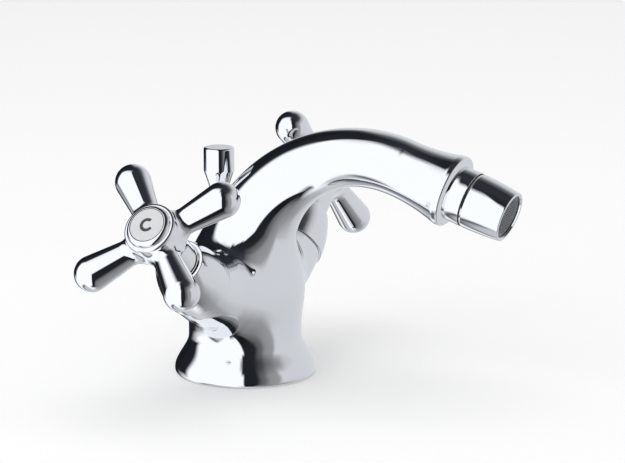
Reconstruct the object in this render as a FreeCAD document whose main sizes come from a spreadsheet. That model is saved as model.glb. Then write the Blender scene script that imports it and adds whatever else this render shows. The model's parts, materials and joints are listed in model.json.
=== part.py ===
import FreeCAD, Part
import os
import re
import Sketcher

# Two-handle bidet mixer with an arched spout, a swivelling outlet and a pop-up waste rod.
# The foot stands on z = 0 about the z axis, the spout reaches along -y and the handles stand at -x and +x.

doc = FreeCAD.newDocument("bidet_mixer")
sheet = doc.addObject("Spreadsheet::Sheet", "sizes")

# Driving sizes, in millimetres and degrees.
DRIVING = {
    # foot and column
    "foot_radius": 30,
    "foot_round": 1.8,
    "foot_edge": 4,
    "waist_radius": 24,
    "waist_height": 22,
    "groove_land": 1,
    "groove_width": 2.8,
    "groove_depth": 2,
    "seal_gap": 0.1,
    "stud_radius": 4,
    "stud_depth": 14,
    "stud_offset": 12,
    "inlet_radius": 5,
    # arched spout
    "bend_radius": 56,
    "bend_height": 41.2,
    "root_radius": 23.6,
    "spout_radius": 12.2,
    "exit_drop": 18.5,
    "flare_length": 22,
    "rim_wall": 4.2,
    "rim_length": 2.5,
    "rim_round": 0.8,
    "waterway_radius": 6.2,
    # valve branches of the casting, by distance along the valve axis from where it crosses x = 0
    "valve_angle": 39.1,
    "valve_root": 12.8,
    "branch_root": 12,
    "branch_taper": 1.2,
    "branch_wall": 3.35,
    "seat_distance": 53,
    "channel_radius": 3.5,
    "thread_length": 15,
    "nose_length": 11,
    "cut_over": 5,
    # headwork
    "thread_step": 1.75,
    "thread_gap": 0.05,
    "nose_wall": 1.45,
    "nose_gap": 0.1,
    "nose_clear": 1,
    "washer_height": 1.2,
    "washer_rim": 0.3,
    "flange_step": 1.95,
    "flange_height": 2,
    "hex_flats": 17,
    "hex_height": 6.3,
    "neck_wall": 1,
    "neck_length": 13.5,
    "window_radius": 1.4,
    # ceramic discs and the seal under them
    "seat_seal_height": 1.8,
    "seat_seal_bore": 4.2,
    "disc_radius": 7.1,
    "disc_height": 2.5,
    "disc_gap": 0.15,
    "lap_gap": 0.02,
    "port_radius": 1.6,
    "port_offset": 3.8,
    # spindle
    "spindle_radius": 4,
    "spindle_gap": 0.05,
    "head_step": 1.1,
    "head_height": 2,
    "end_float": 0.1,
    "tang_width": 2.4,
    "tang_height": 0.9,
    "tang_length": 9,
    "tang_gap": 0.1,
    "ring_section": 0.65,
    "ring_lift": 6,
    "clip_height": 0.9,
    "clip_depth": 0.7,
    "clip_width": 2.2,
    "clip_gap": 0.05,
    "clip_lift": 0.3,
    "clip_opening": 60,
    "drive_lift": 2.4,
    "drive_square": 5.6,
    "drive_length": 11.6,
    "drive_gap": 0.1,
    "screw_radius": 2,
    "screw_gap": 0.05,
    "screw_reach": 7,
    "screw_head_radius": 4.6,
    "screw_head_height": 2.8,
    # shroud
    "shroud_length": 20,
    "shroud_step": 0.7,
    "shroud_lip": 1.2,
    "shroud_wall": 1.2,
    # cross handle
    "handle_gap": 0.8,
    "handle_wall": 1.5,
    "neck_gap": 0.4,
    "neck_overlap": 1.5,
    "web_height": 3,
    "arm_rise": 2.2,
    "hub_wall": 1.6,
    "hub_drop": 4.5,
    "hub_flare": 7,
    "hub_round": 1.2,
    "arm_bite": 1.7,
    "arm_root_radius": 5,
    "arm_cover": 0.5,
    "arm_length": 30.05,
    "bulb_radius": 7.42,
    "arm_count": 4,
    "left_clocking": 39.8,
    "right_clocking": 78.6,
    # index cap
    "cap_radius": 9.2,
    "cap_gap": 0.1,
    "cap_depth": 3,
    "cap_rise": 2,
    "cap_edge": 1.7,
    # pop-up waste rod
    "rod_bend": 23.6,
    "rod_radius": 3,
    "rod_gap": 0.05,
    "rod_length": 81,
    "rod_hole_gap": 0.6,
    "rod_thread_radius": 2,
    "rod_thread_depth": 10,
    "guide_wall": 1.35,
    "guide_gap": 0.03,
    "guide_foot": 24,
    "guide_length": 20,
    "knob_radius": 6.5,
    "knob_length": 18.5,
    "knob_grip": 10,
    "knob_lift": 6.5,
    "knob_wall": 0.75,
    "knob_waist_step": 0.8,
    "knob_waist": 3,
    "knob_round": 0.8,
    "knob_socket": 7,
    # swivelling outlet, by distance along the spout's end axis from the end of its bend
    "socket_depth": 9,
    "stub_gap": 0.05,
    "swivel_washer": 1.5,
    "collar_step": 0.65,
    "collar_wall": 2,
    "collar_margin": 0.9,
    "ball_rise": 3,
    "ball_radius": 8,
    "ball_gap": 0.1,
    "ball_seal_section": 1.2,
    "seat_ring_wall": 3.4,
    "seat_ring_step": 1.3,
    "knuckle_crown": 0.85,
    "knuckle_gap": 0.25,
    "knuckle_reach": 8.4,
    "mouth_gap": 0.5,
    "mouth_flare": 4.2,
    "stem_radius": 4.6,
    "stem_bore": 3,
    "stem_gap": 0.05,
    "nozzle_step": 0.05,
    "nozzle_cup": 8,
    "nozzle_straight": 6,
    "tip_taper": 1.1,
    "tip_wall": 1.1,
    "tip_round": 0.4,
    "web_wall": 1.75,
    "insert_gap": 0.1,
    "insert_inset": 0.6,
    "insert_wall": 0.8,
    "insert_floor": 2,
    "jet_radius": 0.9,
    "jet_circle": 5,
    "mesh_depth": 1,
    "mesh_height": 0.45,
    "mesh_pitch": 1.3,
    "mesh_hole": 0.9,
}

# Places and radii that follow from the driving sizes.
DERIVED = {
    "groove_radius": "foot_radius - foot_round - groove_land - groove_width",
    "inlet_offset": "branch_root * cos(valve_angle)",
    "inlet_top": "valve_root + branch_root * sin(valve_angle)",
    "disc_chamber": "disc_radius + disc_gap",
    "nose_radius": "disc_chamber + nose_wall",
    "thread_radius": "nose_radius + thread_step",
    "flange_radius": "thread_radius + flange_step",
    "branch_radius": "thread_radius + branch_wall",
    "branch_root_radius": "branch_radius + branch_taper",
    "shroud_radius": "branch_radius + shroud_step",
    "chamber_floor": "seat_distance - thread_length - nose_length",
    "thread_foot": "seat_distance - thread_length",
    "outlet_height": "valve_root + thread_foot * sin(valve_angle)",
    "outlet_reach": "thread_foot * cos(valve_angle)",
    "fixed_disc_foot": "chamber_floor + seat_seal_height",
    "moving_disc_foot": "fixed_disc_foot + disc_height + lap_gap",
    "spindle_foot": "moving_disc_foot + disc_height + lap_gap",
    "head_radius": "disc_radius - head_step",
    "head_top": "spindle_foot + head_height",
    "bonnet_step": "head_top + end_float",
    "bonnet_foot": "chamber_floor + nose_clear",
    "flange_foot": "seat_distance + washer_height",
    "flange_top": "flange_foot + flange_height",
    "hex_top": "flange_top + hex_height",
    "neck_top": "hex_top + neck_length",
    "spindle_bore": "spindle_radius + spindle_gap",
    "ring_level": "neck_top - ring_lift",
    "ring_groove": "spindle_bore + 2 * ring_section + spindle_gap",
    "neck_radius": "ring_groove + neck_wall",
    "handle_bore": "neck_radius + handle_gap",
    "handle_neck_radius": "handle_bore + handle_wall",
    "clip_foot": "neck_top + clip_lift",
    "clip_top": "clip_foot + clip_height",
    "clip_seat": "spindle_radius - clip_depth",
    "drive_foot": "neck_top + drive_lift",
    "drive_top": "drive_foot + drive_length",
    "web_foot": "drive_top + drive_gap",
    "web_top": "web_foot + web_height",
    "arm_plane": "web_top + arm_rise",
    "cap_floor": "arm_plane + arm_root_radius + arm_cover",
    "hub_top": "cap_floor + cap_depth",
    "hub_foot": "arm_plane - hub_drop",
    "cap_recess": "cap_radius + cap_gap",
    "hub_radius": "cap_recess + hub_wall",
    "arm_root": "hub_radius - arm_bite",
    "index_radius": "cap_radius - cap_edge",
    "shroud_top": "seat_distance + shroud_length",
    "lip_bore": "handle_neck_radius + neck_gap",
    "lip_radius": "lip_bore + shroud_lip",
    "handle_foot": "shroud_top - neck_overlap",
    "rod_bend_radius": "bend_radius + spout_radius + (root_radius - spout_radius) * (1 - rod_bend / 90)^2",
    "rod_offset": "rod_bend_radius * cos(rod_bend) - bend_radius",
    "knob_foot": "bend_height + rod_bend_radius * sin(rod_bend) + knob_lift",
    "knob_top": "knob_foot + knob_length",
    "rod_top": "knob_foot + knob_socket",
    "rod_foot": "rod_top - rod_length",
    "rod_bore": "rod_radius + rod_gap",
    "guide_radius": "rod_bore + guide_wall",
    "guide_top": "guide_foot + guide_length",
    "knob_neck_radius": "rod_bore + knob_wall",
    "knob_waist_radius": "knob_neck_radius + knob_waist_step",
    "bend_end_y": "-bend_radius * (1 + sin(exit_drop))",
    "bend_end_z": "bend_height + bend_radius * cos(exit_drop)",
    "spout_end": "flare_length + rim_length",
    "socket_floor": "spout_end - socket_depth",
    "collar_foot": "socket_floor + swivel_washer",
    "ball_centre": "spout_end + ball_rise",
    "ball_seat": "ball_radius + ball_gap",
    "collar_bore": "ball_seat + collar_margin",
    "stub_radius": "collar_bore + collar_wall",
    "collar_radius": "stub_radius + collar_step",
    "rim_radius": "stub_radius + rim_wall",
    "knuckle_radius": "collar_radius + knuckle_crown",
    "mouth_root": "stem_radius + mouth_gap",
    "mouth_radius": "mouth_root + mouth_flare",
    "seat_ring_foot": "collar_foot + 2 * ball_seal_section + 2 * ball_gap",
    "seat_ring_radius": "collar_bore - ball_gap",
    "nozzle_radius": "collar_radius - nozzle_step",
    "tip_radius": "nozzle_radius - tip_taper",
    "nozzle_web": "knuckle_radius + knuckle_gap + web_wall",
    "web_front": "ball_centre + nozzle_web",
    "nozzle_tip": "web_front + nozzle_cup",
    "nozzle_bore": "tip_radius - tip_wall",
    "insert_radius": "nozzle_bore - insert_gap",
    "insert_foot": "web_front + insert_gap",
    "insert_front": "nozzle_tip - insert_inset",
    "mesh_floor": "insert_front - mesh_depth",
    "mesh_seat": "insert_radius - insert_wall",
}

SPARE_CELL = "D1"
SIDES = {"left": -1, "right": 1}
BEND_STEPS = 6
JETS = 8


def fill_sheet():
    row = 1
    for name, number in DRIVING.items():
        sheet.set(f"A{row}", name)
        sheet.set(f"B{row}", str(number))
        sheet.setAlias(f"B{row}", name)
        row += 1
    for name, formula in DERIVED.items():
        sheet.set(f"A{row}", name)
        sheet.set(f"B{row}", "=" + formula)
        sheet.setAlias(f"B{row}", name)
        row += 1
    doc.recompute()


def value(formula):
    sheet.set(SPARE_CELL, "=" + formula)
    sheet.recompute()
    return float(sheet.get(SPARE_CELL))


def bound(formula):
    # every alias holds an underscore, which tells it from a function's name
    return re.sub(r"[a-z]+_\w+", lambda word: "sizes." + word.group(0), formula)


def bind(thing, **formulas):
    for path, formula in formulas.items():
        thing.setExpression(path.replace("__", "."), bound(formula))
    return thing


def at(thing, x="0", y="0", z="0"):
    return bind(thing, Placement__Base__x=x, Placement__Base__y=y, Placement__Base__z=z)


def turned(thing, axis, angle):
    thing.Placement = FreeCAD.Placement(FreeCAD.Vector(), FreeCAD.Rotation(FreeCAD.Vector(*axis), 1))
    return bind(thing, Placement__Rotation__Angle=angle)


def on_valve(thing, side):
    turned(thing, (0, SIDES[side], 0), "90 - valve_angle")
    return at(thing, z="valve_root")


def on_spout_end(thing):
    turned(thing, (1, 0, 0), "90 + exit_drop")
    return at(thing, y="bend_end_y", z="bend_end_z")


def drum(name, radius, length, **place):
    cylinder = doc.addObject("Part::Cylinder", name)
    return at(bind(cylinder, Radius=radius, Height=length), **place)


def ball(name, radius, **place):
    return at(bind(doc.addObject("Part::Sphere", name), Radius=radius), **place)


def block(name, width, depth, height, foot):
    box = doc.addObject("Part::Box", name)
    bind(box, Length=width, Width=depth, Height=height)
    return at(box, f"-({width}) / 2", f"-({depth}) / 2", foot)


def union(name, things):
    joined = doc.addObject("Part::MultiFuse", name)
    joined.Shapes = things
    return joined


def cut(name, base, tools):
    result = doc.addObject("Part::Cut", name)
    result.Base = base
    result.Tool = tools[0] if len(tools) == 1 else union(name + "_tools", tools)
    return result


def new_sketch(body, role, name):
    plane = [feature for feature in body.Origin.OriginFeatures if feature.Role == role][0]
    sketch = body.newObject("Sketcher::SketchObject", name)
    sketch.AttachmentSupport = (plane, "")
    sketch.MapMode = "FlatFace"
    return sketch


def pin(sketch, edge, end, kind, formula):
    # holds one coordinate of an edge's end at a formula, or on the axis where it is zero
    axis = -2 if kind == "DistanceX" else -1
    if formula == "0":
        sketch.addConstraint(Sketcher.Constraint("PointOnObject", edge, end, axis))
        return
    number = sketch.addConstraint(Sketcher.Constraint(kind, -1, 1, edge, end, value(formula)))
    sketch.setExpression(f"Constraints[{number}]", bound(formula))


def arc_between(start, end, level):
    # arc that runs square to the sketch's x axis where it meets the level end
    near, far = (start, end) if level == "start" else (end, start)
    middle = (near.x**2 - far.x**2 - (far.y - near.y) ** 2) / (2 * (near.x - far.x))
    centre = FreeCAD.Vector(middle, near.y, 0)
    circle = Part.Circle(centre, FreeCAD.Vector(0, 0, 1), abs(near.x - middle))
    forward = (start - centre).cross(end - centre).z > 0
    first, last = (start, end) if forward else (end, start)
    arc = Part.ArcOfCircle(circle, circle.parameter(first), circle.parameter(last))
    return arc, forward


def outline(sketch, corners, arcs):
    # closed outline through the corners; arcs names the edges that are round and their level ends
    points = [FreeCAD.Vector(value(x), value(y), 0) for x, y in corners]
    ends = []
    for index, start in enumerate(points):
        end = points[(index + 1) % len(points)]
        if index in arcs:
            edge, forward = arc_between(start, end, arcs[index])
            ends.append((1, 2) if forward else (2, 1))
        else:
            edge = Part.LineSegment(start, end)
            ends.append((1, 2))
        sketch.addGeometry(edge, False)
    for index, (x, y) in enumerate(corners):
        after = (index + 1) % len(corners)
        sketch.addConstraint(Sketcher.Constraint("Coincident", index, ends[index][1], after, ends[after][0]))
        pin(sketch, index, ends[index][0], "DistanceX", x)
        pin(sketch, index, ends[index][0], "DistanceY", y)
        if index in arcs:
            level = index if arcs[index] == "start" else after
            pin(sketch, index, 3, "DistanceY", corners[level][1])


def revolve(body, sketch, axis, name):
    solid = body.newObject("PartDesign::Revolution", name)
    solid.Profile = sketch
    solid.ReferenceAxis = (sketch, [axis])
    solid.Angle = 360
    return solid


def lathe(name, corners, arcs=None):
    # body of revolution about its own z axis from (radius, height) corners
    body = doc.addObject("PartDesign::Body", name)
    sketch = new_sketch(body, "XZ_Plane", name + "_outline")
    outline(sketch, corners, arcs or {})
    revolve(body, sketch, "V_Axis", name + "_turned")
    return body


def tube(name, inner, outer, foot, top):
    return lathe(name, [(inner, foot), (outer, foot), (outer, top), (inner, top)])


def seal_ring(name, circle, section, z):
    torus = doc.addObject("Part::Torus", name)
    return at(bind(torus, Radius1=circle, Radius2=section), z=z)


def spout_section(name, angle, radius):
    # circle square to the bend's centre line, at an angle round the bend from its foot
    circle = doc.addObject("Part::Circle", name)
    bind(circle, Radius=radius)
    turned(circle, (1, 0, 0), angle)
    return at(circle, y=f"-bend_radius * (1 - cos({angle}))", z=f"bend_height + bend_radius * sin({angle})")


# The casting: a flared foot, the spout that grows out of it and two branches for the valves.
def casting_outside():
    foot = lathe(
        "foot",
        [
            ("0", "0"),
            ("foot_radius - foot_round", "0"),
            ("foot_radius", "foot_round"),
            ("foot_radius", "foot_edge"),
            ("waist_radius", "waist_height"),
            ("root_radius", "bend_height"),
            ("0", "bend_height"),
        ],
        {1: "end", 3: "end"},
    )
    sections = []
    for step in range(BEND_STEPS + 1):
        radius = f"spout_radius + (root_radius - spout_radius) * (1 - {step} / {BEND_STEPS})^2"
        sections.append(spout_section(f"bend_section_{step}", f"90 * {step} / {BEND_STEPS}", radius))
    sections.append(spout_section("bend_section_end", "90 + exit_drop", "spout_radius"))
    spout = doc.addObject("Part::Loft", "spout")
    spout.Sections = sections
    spout.Solid = True
    mouth = lathe(
        "spout_mouth",
        [
            ("0", "0"),
            ("spout_radius", "0"),
            ("rim_radius", "flare_length"),
            ("rim_radius", "spout_end - rim_round"),
            ("rim_radius - rim_round", "spout_end"),
            ("0", "spout_end"),
        ],
        {1: "start", 3: "start"},
    )
    outside = [foot, spout, on_spout_end(mouth)]
    for side in SIDES:
        branch = lathe(
            side + "_branch",
            [
                ("0", "branch_root"),
                ("branch_root_radius", "branch_root"),
                ("branch_radius", "seat_distance"),
                ("0", "seat_distance"),
            ],
        )
        outside.append(on_valve(branch, side))
    return outside


# What is cored and drilled out of the casting.
def casting_inside():
    groove_outer = "groove_radius + groove_width"
    mouth_bore = lathe(
        "mouth_bore",
        [
            ("0", "0"),
            ("waterway_radius", "0"),
            ("waterway_radius", "socket_floor"),
            ("stub_radius + stub_gap", "socket_floor"),
            ("stub_radius + stub_gap", "spout_end + cut_over"),
            ("0", "spout_end + cut_over"),
        ],
    )
    bend = doc.addObject("Part::Torus", "waterway_bend")
    bind(bend, Radius1="bend_radius", Radius2="waterway_radius", Angle3="90 + exit_drop")
    bend.Placement.Rotation = FreeCAD.Rotation(FreeCAD.Vector(1, 1, 1), 120)
    at(bend, y="-bend_radius", z="bend_height")
    cross = doc.addObject("Part::Cylinder", "outlet_bore")
    bind(cross, Radius="channel_radius", Height="2 * outlet_reach")
    turned(cross, (0, 1, 0), "90")
    at(cross, x="-outlet_reach", z="outlet_height")
    root_foot = "outlet_height - channel_radius"
    inside = [
        tube("seal_groove", "groove_radius", groove_outer, "0", "groove_depth"),
        drum("stud_hole", "stud_radius", "stud_depth", y="-stud_offset"),
        drum("rod_hole", "rod_radius + rod_hole_gap", "knob_top", y="rod_offset"),
        drum("guide_hole", "guide_radius + guide_gap", "guide_top", y="rod_offset"),
        drum("waterway_root", "waterway_radius", f"bend_height - ({root_foot})", z=root_foot),
        bend,
        cross,
        on_spout_end(mouth_bore),
    ]
    for side, sign in SIDES.items():
        chamber = lathe(
            side + "_chamber",
            [
                ("0", "branch_root"),
                ("channel_radius", "branch_root"),
                ("channel_radius", "chamber_floor"),
                ("nose_radius + nose_gap", "chamber_floor"),
                ("nose_radius + nose_gap", "thread_foot"),
                ("thread_radius + thread_gap", "thread_foot"),
                ("thread_radius + thread_gap", "seat_distance + cut_over"),
                ("0", "seat_distance + cut_over"),
            ],
        )
        inside.append(on_valve(chamber, side))
        inside.append(drum(side + "_inlet", "inlet_radius", "inlet_top", x=f"{sign} * inlet_offset"))
    return inside


def body_casting():
    return cut("body_casting", union("casting_outside", casting_outside()), casting_inside())


def base_seal():
    inner = "groove_radius + seal_gap"
    outer = "groove_radius + groove_width - seal_gap"
    return tube("base_seal", inner, outer, "0", "groove_depth - seal_gap")


# The headwork's brass body: nose, thread, flange, hexagon and neck, with its spindle bore.
def valve_bonnet(side):
    name = side + "_valve_bonnet"
    shell = lathe(
        name + "_shell",
        [
            ("disc_chamber", "bonnet_foot"),
            ("nose_radius", "bonnet_foot"),
            ("nose_radius", "thread_foot + nose_gap"),
            ("thread_radius", "thread_foot + nose_gap"),
            ("thread_radius", "flange_foot"),
            ("flange_radius", "flange_foot"),
            ("flange_radius", "flange_top"),
            ("neck_radius", "flange_top"),
            ("neck_radius", "neck_top"),
            ("spindle_bore", "neck_top"),
            ("spindle_bore", "ring_level + ring_section + spindle_gap"),
            ("ring_groove", "ring_level + ring_section + spindle_gap"),
            ("ring_groove", "ring_level - ring_section - spindle_gap"),
            ("spindle_bore", "ring_level - ring_section - spindle_gap"),
            ("spindle_bore", "bonnet_step"),
            ("disc_chamber", "bonnet_step"),
        ],
    )
    prism = doc.addObject("Part::Prism", name + "_hexagon")
    prism.Polygon = 6
    bind(prism, Circumradius="hex_flats / sqrt(3)", Height="hex_height")
    at(prism, z="flange_top")
    middle = "(spindle_bore + neck_radius) / 2"
    hexagon = cut(name + "_nut", prism, [drum(name + "_nut_bore", middle, "hex_top")])
    window = doc.addObject("Part::Cylinder", name + "_window")
    bind(window, Radius="window_radius", Height="4 * nose_radius")
    turned(window, (1, 0, 0), "90")
    at(window, y="2 * nose_radius", z="spindle_foot")
    bored = cut(name, union(name + "_solid", [shell, hexagon]), [window])
    return on_valve(bored, side)


def bonnet_washer(side):
    inner = "thread_radius + thread_gap"
    outer = "flange_radius - washer_rim"
    return on_valve(tube(side + "_bonnet_washer", inner, outer, "seat_distance", "flange_foot"), side)


def seat_seal(side):
    outer = "disc_radius - disc_gap"
    seal = tube(side + "_seat_seal", "seat_seal_bore", outer, "chamber_floor", "fixed_disc_foot")
    return on_valve(seal, side)


def disc_with_ports(name, foot):
    plate = drum(name + "_plate", "disc_radius", "disc_height", z=foot)
    ports = []
    for number, sign in enumerate((-1, 1)):
        offset = f"{sign} * port_offset"
        ports.append(drum(f"{name}_port_{number}", "port_radius", "disc_height", x=offset, z=foot))
    return plate, ports


def fixed_disc(side):
    plate, ports = disc_with_ports(side + "_fixed_disc", "fixed_disc_foot")
    return on_valve(cut(side + "_fixed_disc", plate, ports), side)


def moving_disc(side):
    name = side + "_moving_disc"
    plate, ports = disc_with_ports(name, "moving_disc_foot")
    width = "tang_width + 2 * tang_gap"
    length = "tang_length + 2 * tang_gap"
    height = "tang_height + lap_gap + tang_gap"
    slot = block(name + "_slot", width, length, height, "spindle_foot - tang_height - tang_gap")
    return on_valve(cut(name, plate, ports + [slot]), side)


# The spindle: a tang that turns the disc, a head, a clip groove and a square that drives the handle.
def spindle(side):
    name = side + "_spindle"
    shaft = lathe(
        name + "_shaft",
        [
            ("0", "spindle_foot"),
            ("head_radius", "spindle_foot"),
            ("head_radius", "head_top"),
            ("spindle_radius", "head_top"),
            ("spindle_radius", "clip_foot - clip_gap"),
            ("clip_seat", "clip_foot - clip_gap"),
            ("clip_seat", "clip_top + clip_gap"),
            ("spindle_radius", "clip_top + clip_gap"),
            ("spindle_radius", "drive_foot"),
            ("0", "drive_foot"),
        ],
    )
    tang = block(name + "_tang", "tang_width", "tang_length", "tang_height + head_height",
                 "spindle_foot - tang_height")
    square = block(name + "_square", "drive_square", "drive_square", "drive_length", "drive_foot")
    depth = "screw_reach + screw_radius"
    hole = drum(name + "_hole", "screw_radius", f"{depth} + cut_over", z=f"drive_top - ({depth})")
    return on_valve(cut(name, union(name + "_solid", [shaft, tang, square]), [hole]), side)


def spindle_seal(side):
    ring = seal_ring(side + "_spindle_seal", "spindle_bore + ring_section", "ring_section", "0")
    turned(ring, (0, SIDES[side], 0), "90 - valve_angle")
    x = f"{SIDES[side]} * ring_level * cos(valve_angle)"
    return at(ring, x, "0", "valve_root + ring_level * sin(valve_angle)")


def spindle_clip(side):
    inner = "clip_seat + clip_gap"
    outer = "clip_seat + clip_width"
    clip = tube(side + "_spindle_clip", inner, outer, "clip_foot", "clip_top")
    bind(clip.Tip, Angle="360 - clip_opening")
    return on_valve(clip, side)


def valve_shroud(side):
    shroud = lathe(
        side + "_valve_shroud",
        [
            ("shroud_radius - shroud_wall", "seat_distance"),
            ("shroud_radius", "seat_distance"),
            ("lip_radius", "shroud_top"),
            ("lip_bore", "shroud_top"),
            ("lip_bore", "handle_foot"),
            ("lip_radius - shroud_wall / 2", "handle_foot"),
        ],
        {1: "start", 5: "end"},
    )
    return on_valve(shroud, side)


# The cross handle: a stepped hub, four ball-ended arms and a square socket for the spindle.
def cross_handle(side):
    name = side + "_cross_handle"
    body = lathe(
        name + "_cross",
        [
            ("handle_bore", "handle_foot"),
            ("handle_neck_radius", "handle_foot"),
            ("handle_neck_radius", "hub_foot - hub_flare"),
            ("hub_radius", "hub_foot"),
            ("hub_radius", "hub_top - hub_round"),
            ("hub_radius - hub_round", "hub_top"),
            ("cap_recess", "hub_top"),
            ("cap_recess", "cap_floor"),
            ("screw_head_radius + cap_gap", "cap_floor"),
            ("screw_head_radius + cap_gap", "web_top"),
            ("screw_radius + screw_gap", "web_top"),
            ("screw_radius + screw_gap", "drive_foot"),
            ("handle_bore", "drive_foot"),
        ],
        {2: "start", 4: "start"},
    )
    arm_outline = new_sketch(body, "XY_Plane", name + "_arm_outline")
    bind(arm_outline, AttachmentOffset__Base__z="arm_plane")
    arm_outline.AttachmentOffset.Rotation = FreeCAD.Rotation(FreeCAD.Vector(0, 0, 1), 1)
    bind(arm_outline, AttachmentOffset__Rotation__Angle=f"{side}_clocking")
    outline(
        arm_outline,
        [
            ("arm_root", "0"),
            ("arm_root", "arm_root_radius"),
            ("arm_length", "bulb_radius"),
            ("arm_length + bulb_radius", "0"),
        ],
        {2: "end"},
    )
    arm = revolve(body, arm_outline, "H_Axis", name + "_arm")
    doc.recompute()
    arms = body.newObject("PartDesign::PolarPattern", name + "_arms")
    arms.Originals = [arm]
    valve_axis = [feature for feature in body.Origin.OriginFeatures if feature.Role == "Z_Axis"][0]
    arms.Axis = (valve_axis, [""])
    arms.Angle = 360
    bind(arms, Occurrences="arm_count")
    body.Tip = arms
    socket_width = "drive_square + 2 * drive_gap"
    socket = block(name + "_socket", socket_width, socket_width, "web_foot - drive_foot", "drive_foot")
    return on_valve(cut(name, body, [socket]), side)


def index_cap(side):
    cap = lathe(
        side + "_index_cap",
        [
            ("0", "cap_floor"),
            ("cap_radius", "cap_floor"),
            ("cap_radius", "hub_top"),
            ("index_radius", "hub_top + cap_rise"),
            ("0", "hub_top + cap_rise"),
        ],
        {2: "start"},
    )
    return on_valve(cap, side)


def handle_screw(side):
    screw = lathe(
        side + "_handle_screw",
        [
            ("0", "drive_top - screw_reach"),
            ("screw_radius - screw_gap", "drive_top - screw_reach"),
            ("screw_radius - screw_gap", "web_top"),
            ("screw_head_radius", "web_top"),
            ("screw_head_radius", "web_top + screw_head_height"),
            ("0", "web_top + screw_head_height"),
        ],
    )
    return on_valve(screw, side)


def valve_pieces(side):
    makers = (
        valve_bonnet,
        bonnet_washer,
        seat_seal,
        fixed_disc,
        moving_disc,
        spindle,
        spindle_seal,
        spindle_clip,
        valve_shroud,
        cross_handle,
        index_cap,
        handle_screw,
    )
    return [maker(side) for maker in makers]


# The pop-up waste rod with its knob, and the bush that guides it in the casting.
def lift_rod():
    blank = drum("rod_blank", "rod_radius", "rod_length", y="rod_offset", z="rod_foot")
    thread = drum("rod_thread", "rod_thread_radius", "rod_thread_depth", y="rod_offset", z="rod_foot")
    return cut("lift_rod", blank, [thread])


def lift_knob():
    knob = lathe(
        "lift_knob",
        [
            ("rod_bore", "knob_foot"),
            ("knob_neck_radius", "knob_foot"),
            ("knob_waist_radius", "knob_foot + knob_waist"),
            ("knob_radius", "knob_top - knob_grip"),
            ("knob_radius", "knob_top - knob_round"),
            ("knob_radius - knob_round", "knob_top"),
            ("0", "knob_top"),
            ("0", "rod_top + rod_gap"),
            ("rod_bore", "rod_top + rod_gap"),
        ],
        {4: "start"},
    )
    return at(knob, y="rod_offset")


def rod_guide():
    return at(tube("rod_guide", "rod_bore", "guide_radius", "guide_foot", "guide_top"), y="rod_offset")


# The swivelling outlet: a collar screwed into the spout, a ball held in it and the nozzle on the ball.
def swivel_collar():
    stub = tube("collar_stub", "collar_bore", "stub_radius", "collar_foot", "spout_end")
    ring = tube("collar_ring", "collar_bore", "collar_radius", "spout_end", "ball_centre")
    front = drum("collar_front", "collar_radius", "knuckle_reach", z="ball_centre")
    knuckle = doc.addObject("Part::Common", "collar_knuckle")
    knuckle.Base = front
    knuckle.Tool = ball("knuckle_ball", "knuckle_radius", z="ball_centre")
    mouth = doc.addObject("Part::Cone", "collar_mouth")
    bind(mouth, Radius1="mouth_root", Radius2="mouth_radius", Height="knuckle_reach")
    at(mouth, z="ball_centre")
    tools = [ball("collar_seat", "ball_seat", z="ball_centre"), mouth]
    return on_spout_end(cut("swivel_collar", union("collar_solid", [stub, ring, knuckle]), tools))


def aerator_washer():
    inner = "waterway_radius"
    outer = "stub_radius - stub_gap"
    return on_spout_end(tube("aerator_washer", inner, outer, "socket_floor", "collar_foot"))


def ball_seal():
    circle = "collar_bore - ball_gap - ball_seal_section"
    level = "collar_foot + ball_gap + ball_seal_section"
    ring = seal_ring("ball_seal", circle, "ball_seal_section", "0")
    turned(ring, (1, 0, 0), "90 + exit_drop")
    y = f"bend_end_y - ({level}) * cos(exit_drop)"
    return at(ring, "0", y, f"bend_end_z - ({level}) * sin(exit_drop)")


def ball_seat_ring():
    inner = "seat_ring_radius - seat_ring_wall"
    top = "ball_centre - seat_ring_step"
    ring = tube("seat_ring_blank", inner, "seat_ring_radius", "seat_ring_foot", top)
    cup = ball("seat_ring_cup", "ball_seat", z="ball_centre")
    return on_spout_end(cut("ball_seat_ring", ring, [cup]))


def swivel_ball():
    stem = drum("ball_stem", "stem_radius", "nozzle_web", z="ball_centre")
    solid = union("ball_solid", [ball("ball_head", "ball_radius", z="ball_centre"), stem])
    length = "ball_radius + nozzle_web + 2 * cut_over"
    bore = drum("ball_bore", "stem_bore", length, z="ball_centre - ball_radius - cut_over")
    return on_spout_end(cut("swivel_ball", solid, [bore]))


def nozzle_shell():
    blank = lathe(
        "nozzle_blank",
        [
            ("stem_radius + stem_gap", "ball_centre"),
            ("nozzle_radius", "ball_centre"),
            ("nozzle_radius", "ball_centre + nozzle_straight"),
            ("tip_radius", "nozzle_tip - tip_round"),
            ("tip_radius - tip_round", "nozzle_tip"),
            ("nozzle_bore", "nozzle_tip"),
            ("nozzle_bore", "web_front"),
            ("stem_radius + stem_gap", "web_front"),
        ],
        {2: "start"},
    )
    hollow = ball("nozzle_hollow", "knuckle_radius + knuckle_gap", z="ball_centre")
    return on_spout_end(cut("nozzle_shell", blank, [hollow]))


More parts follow.
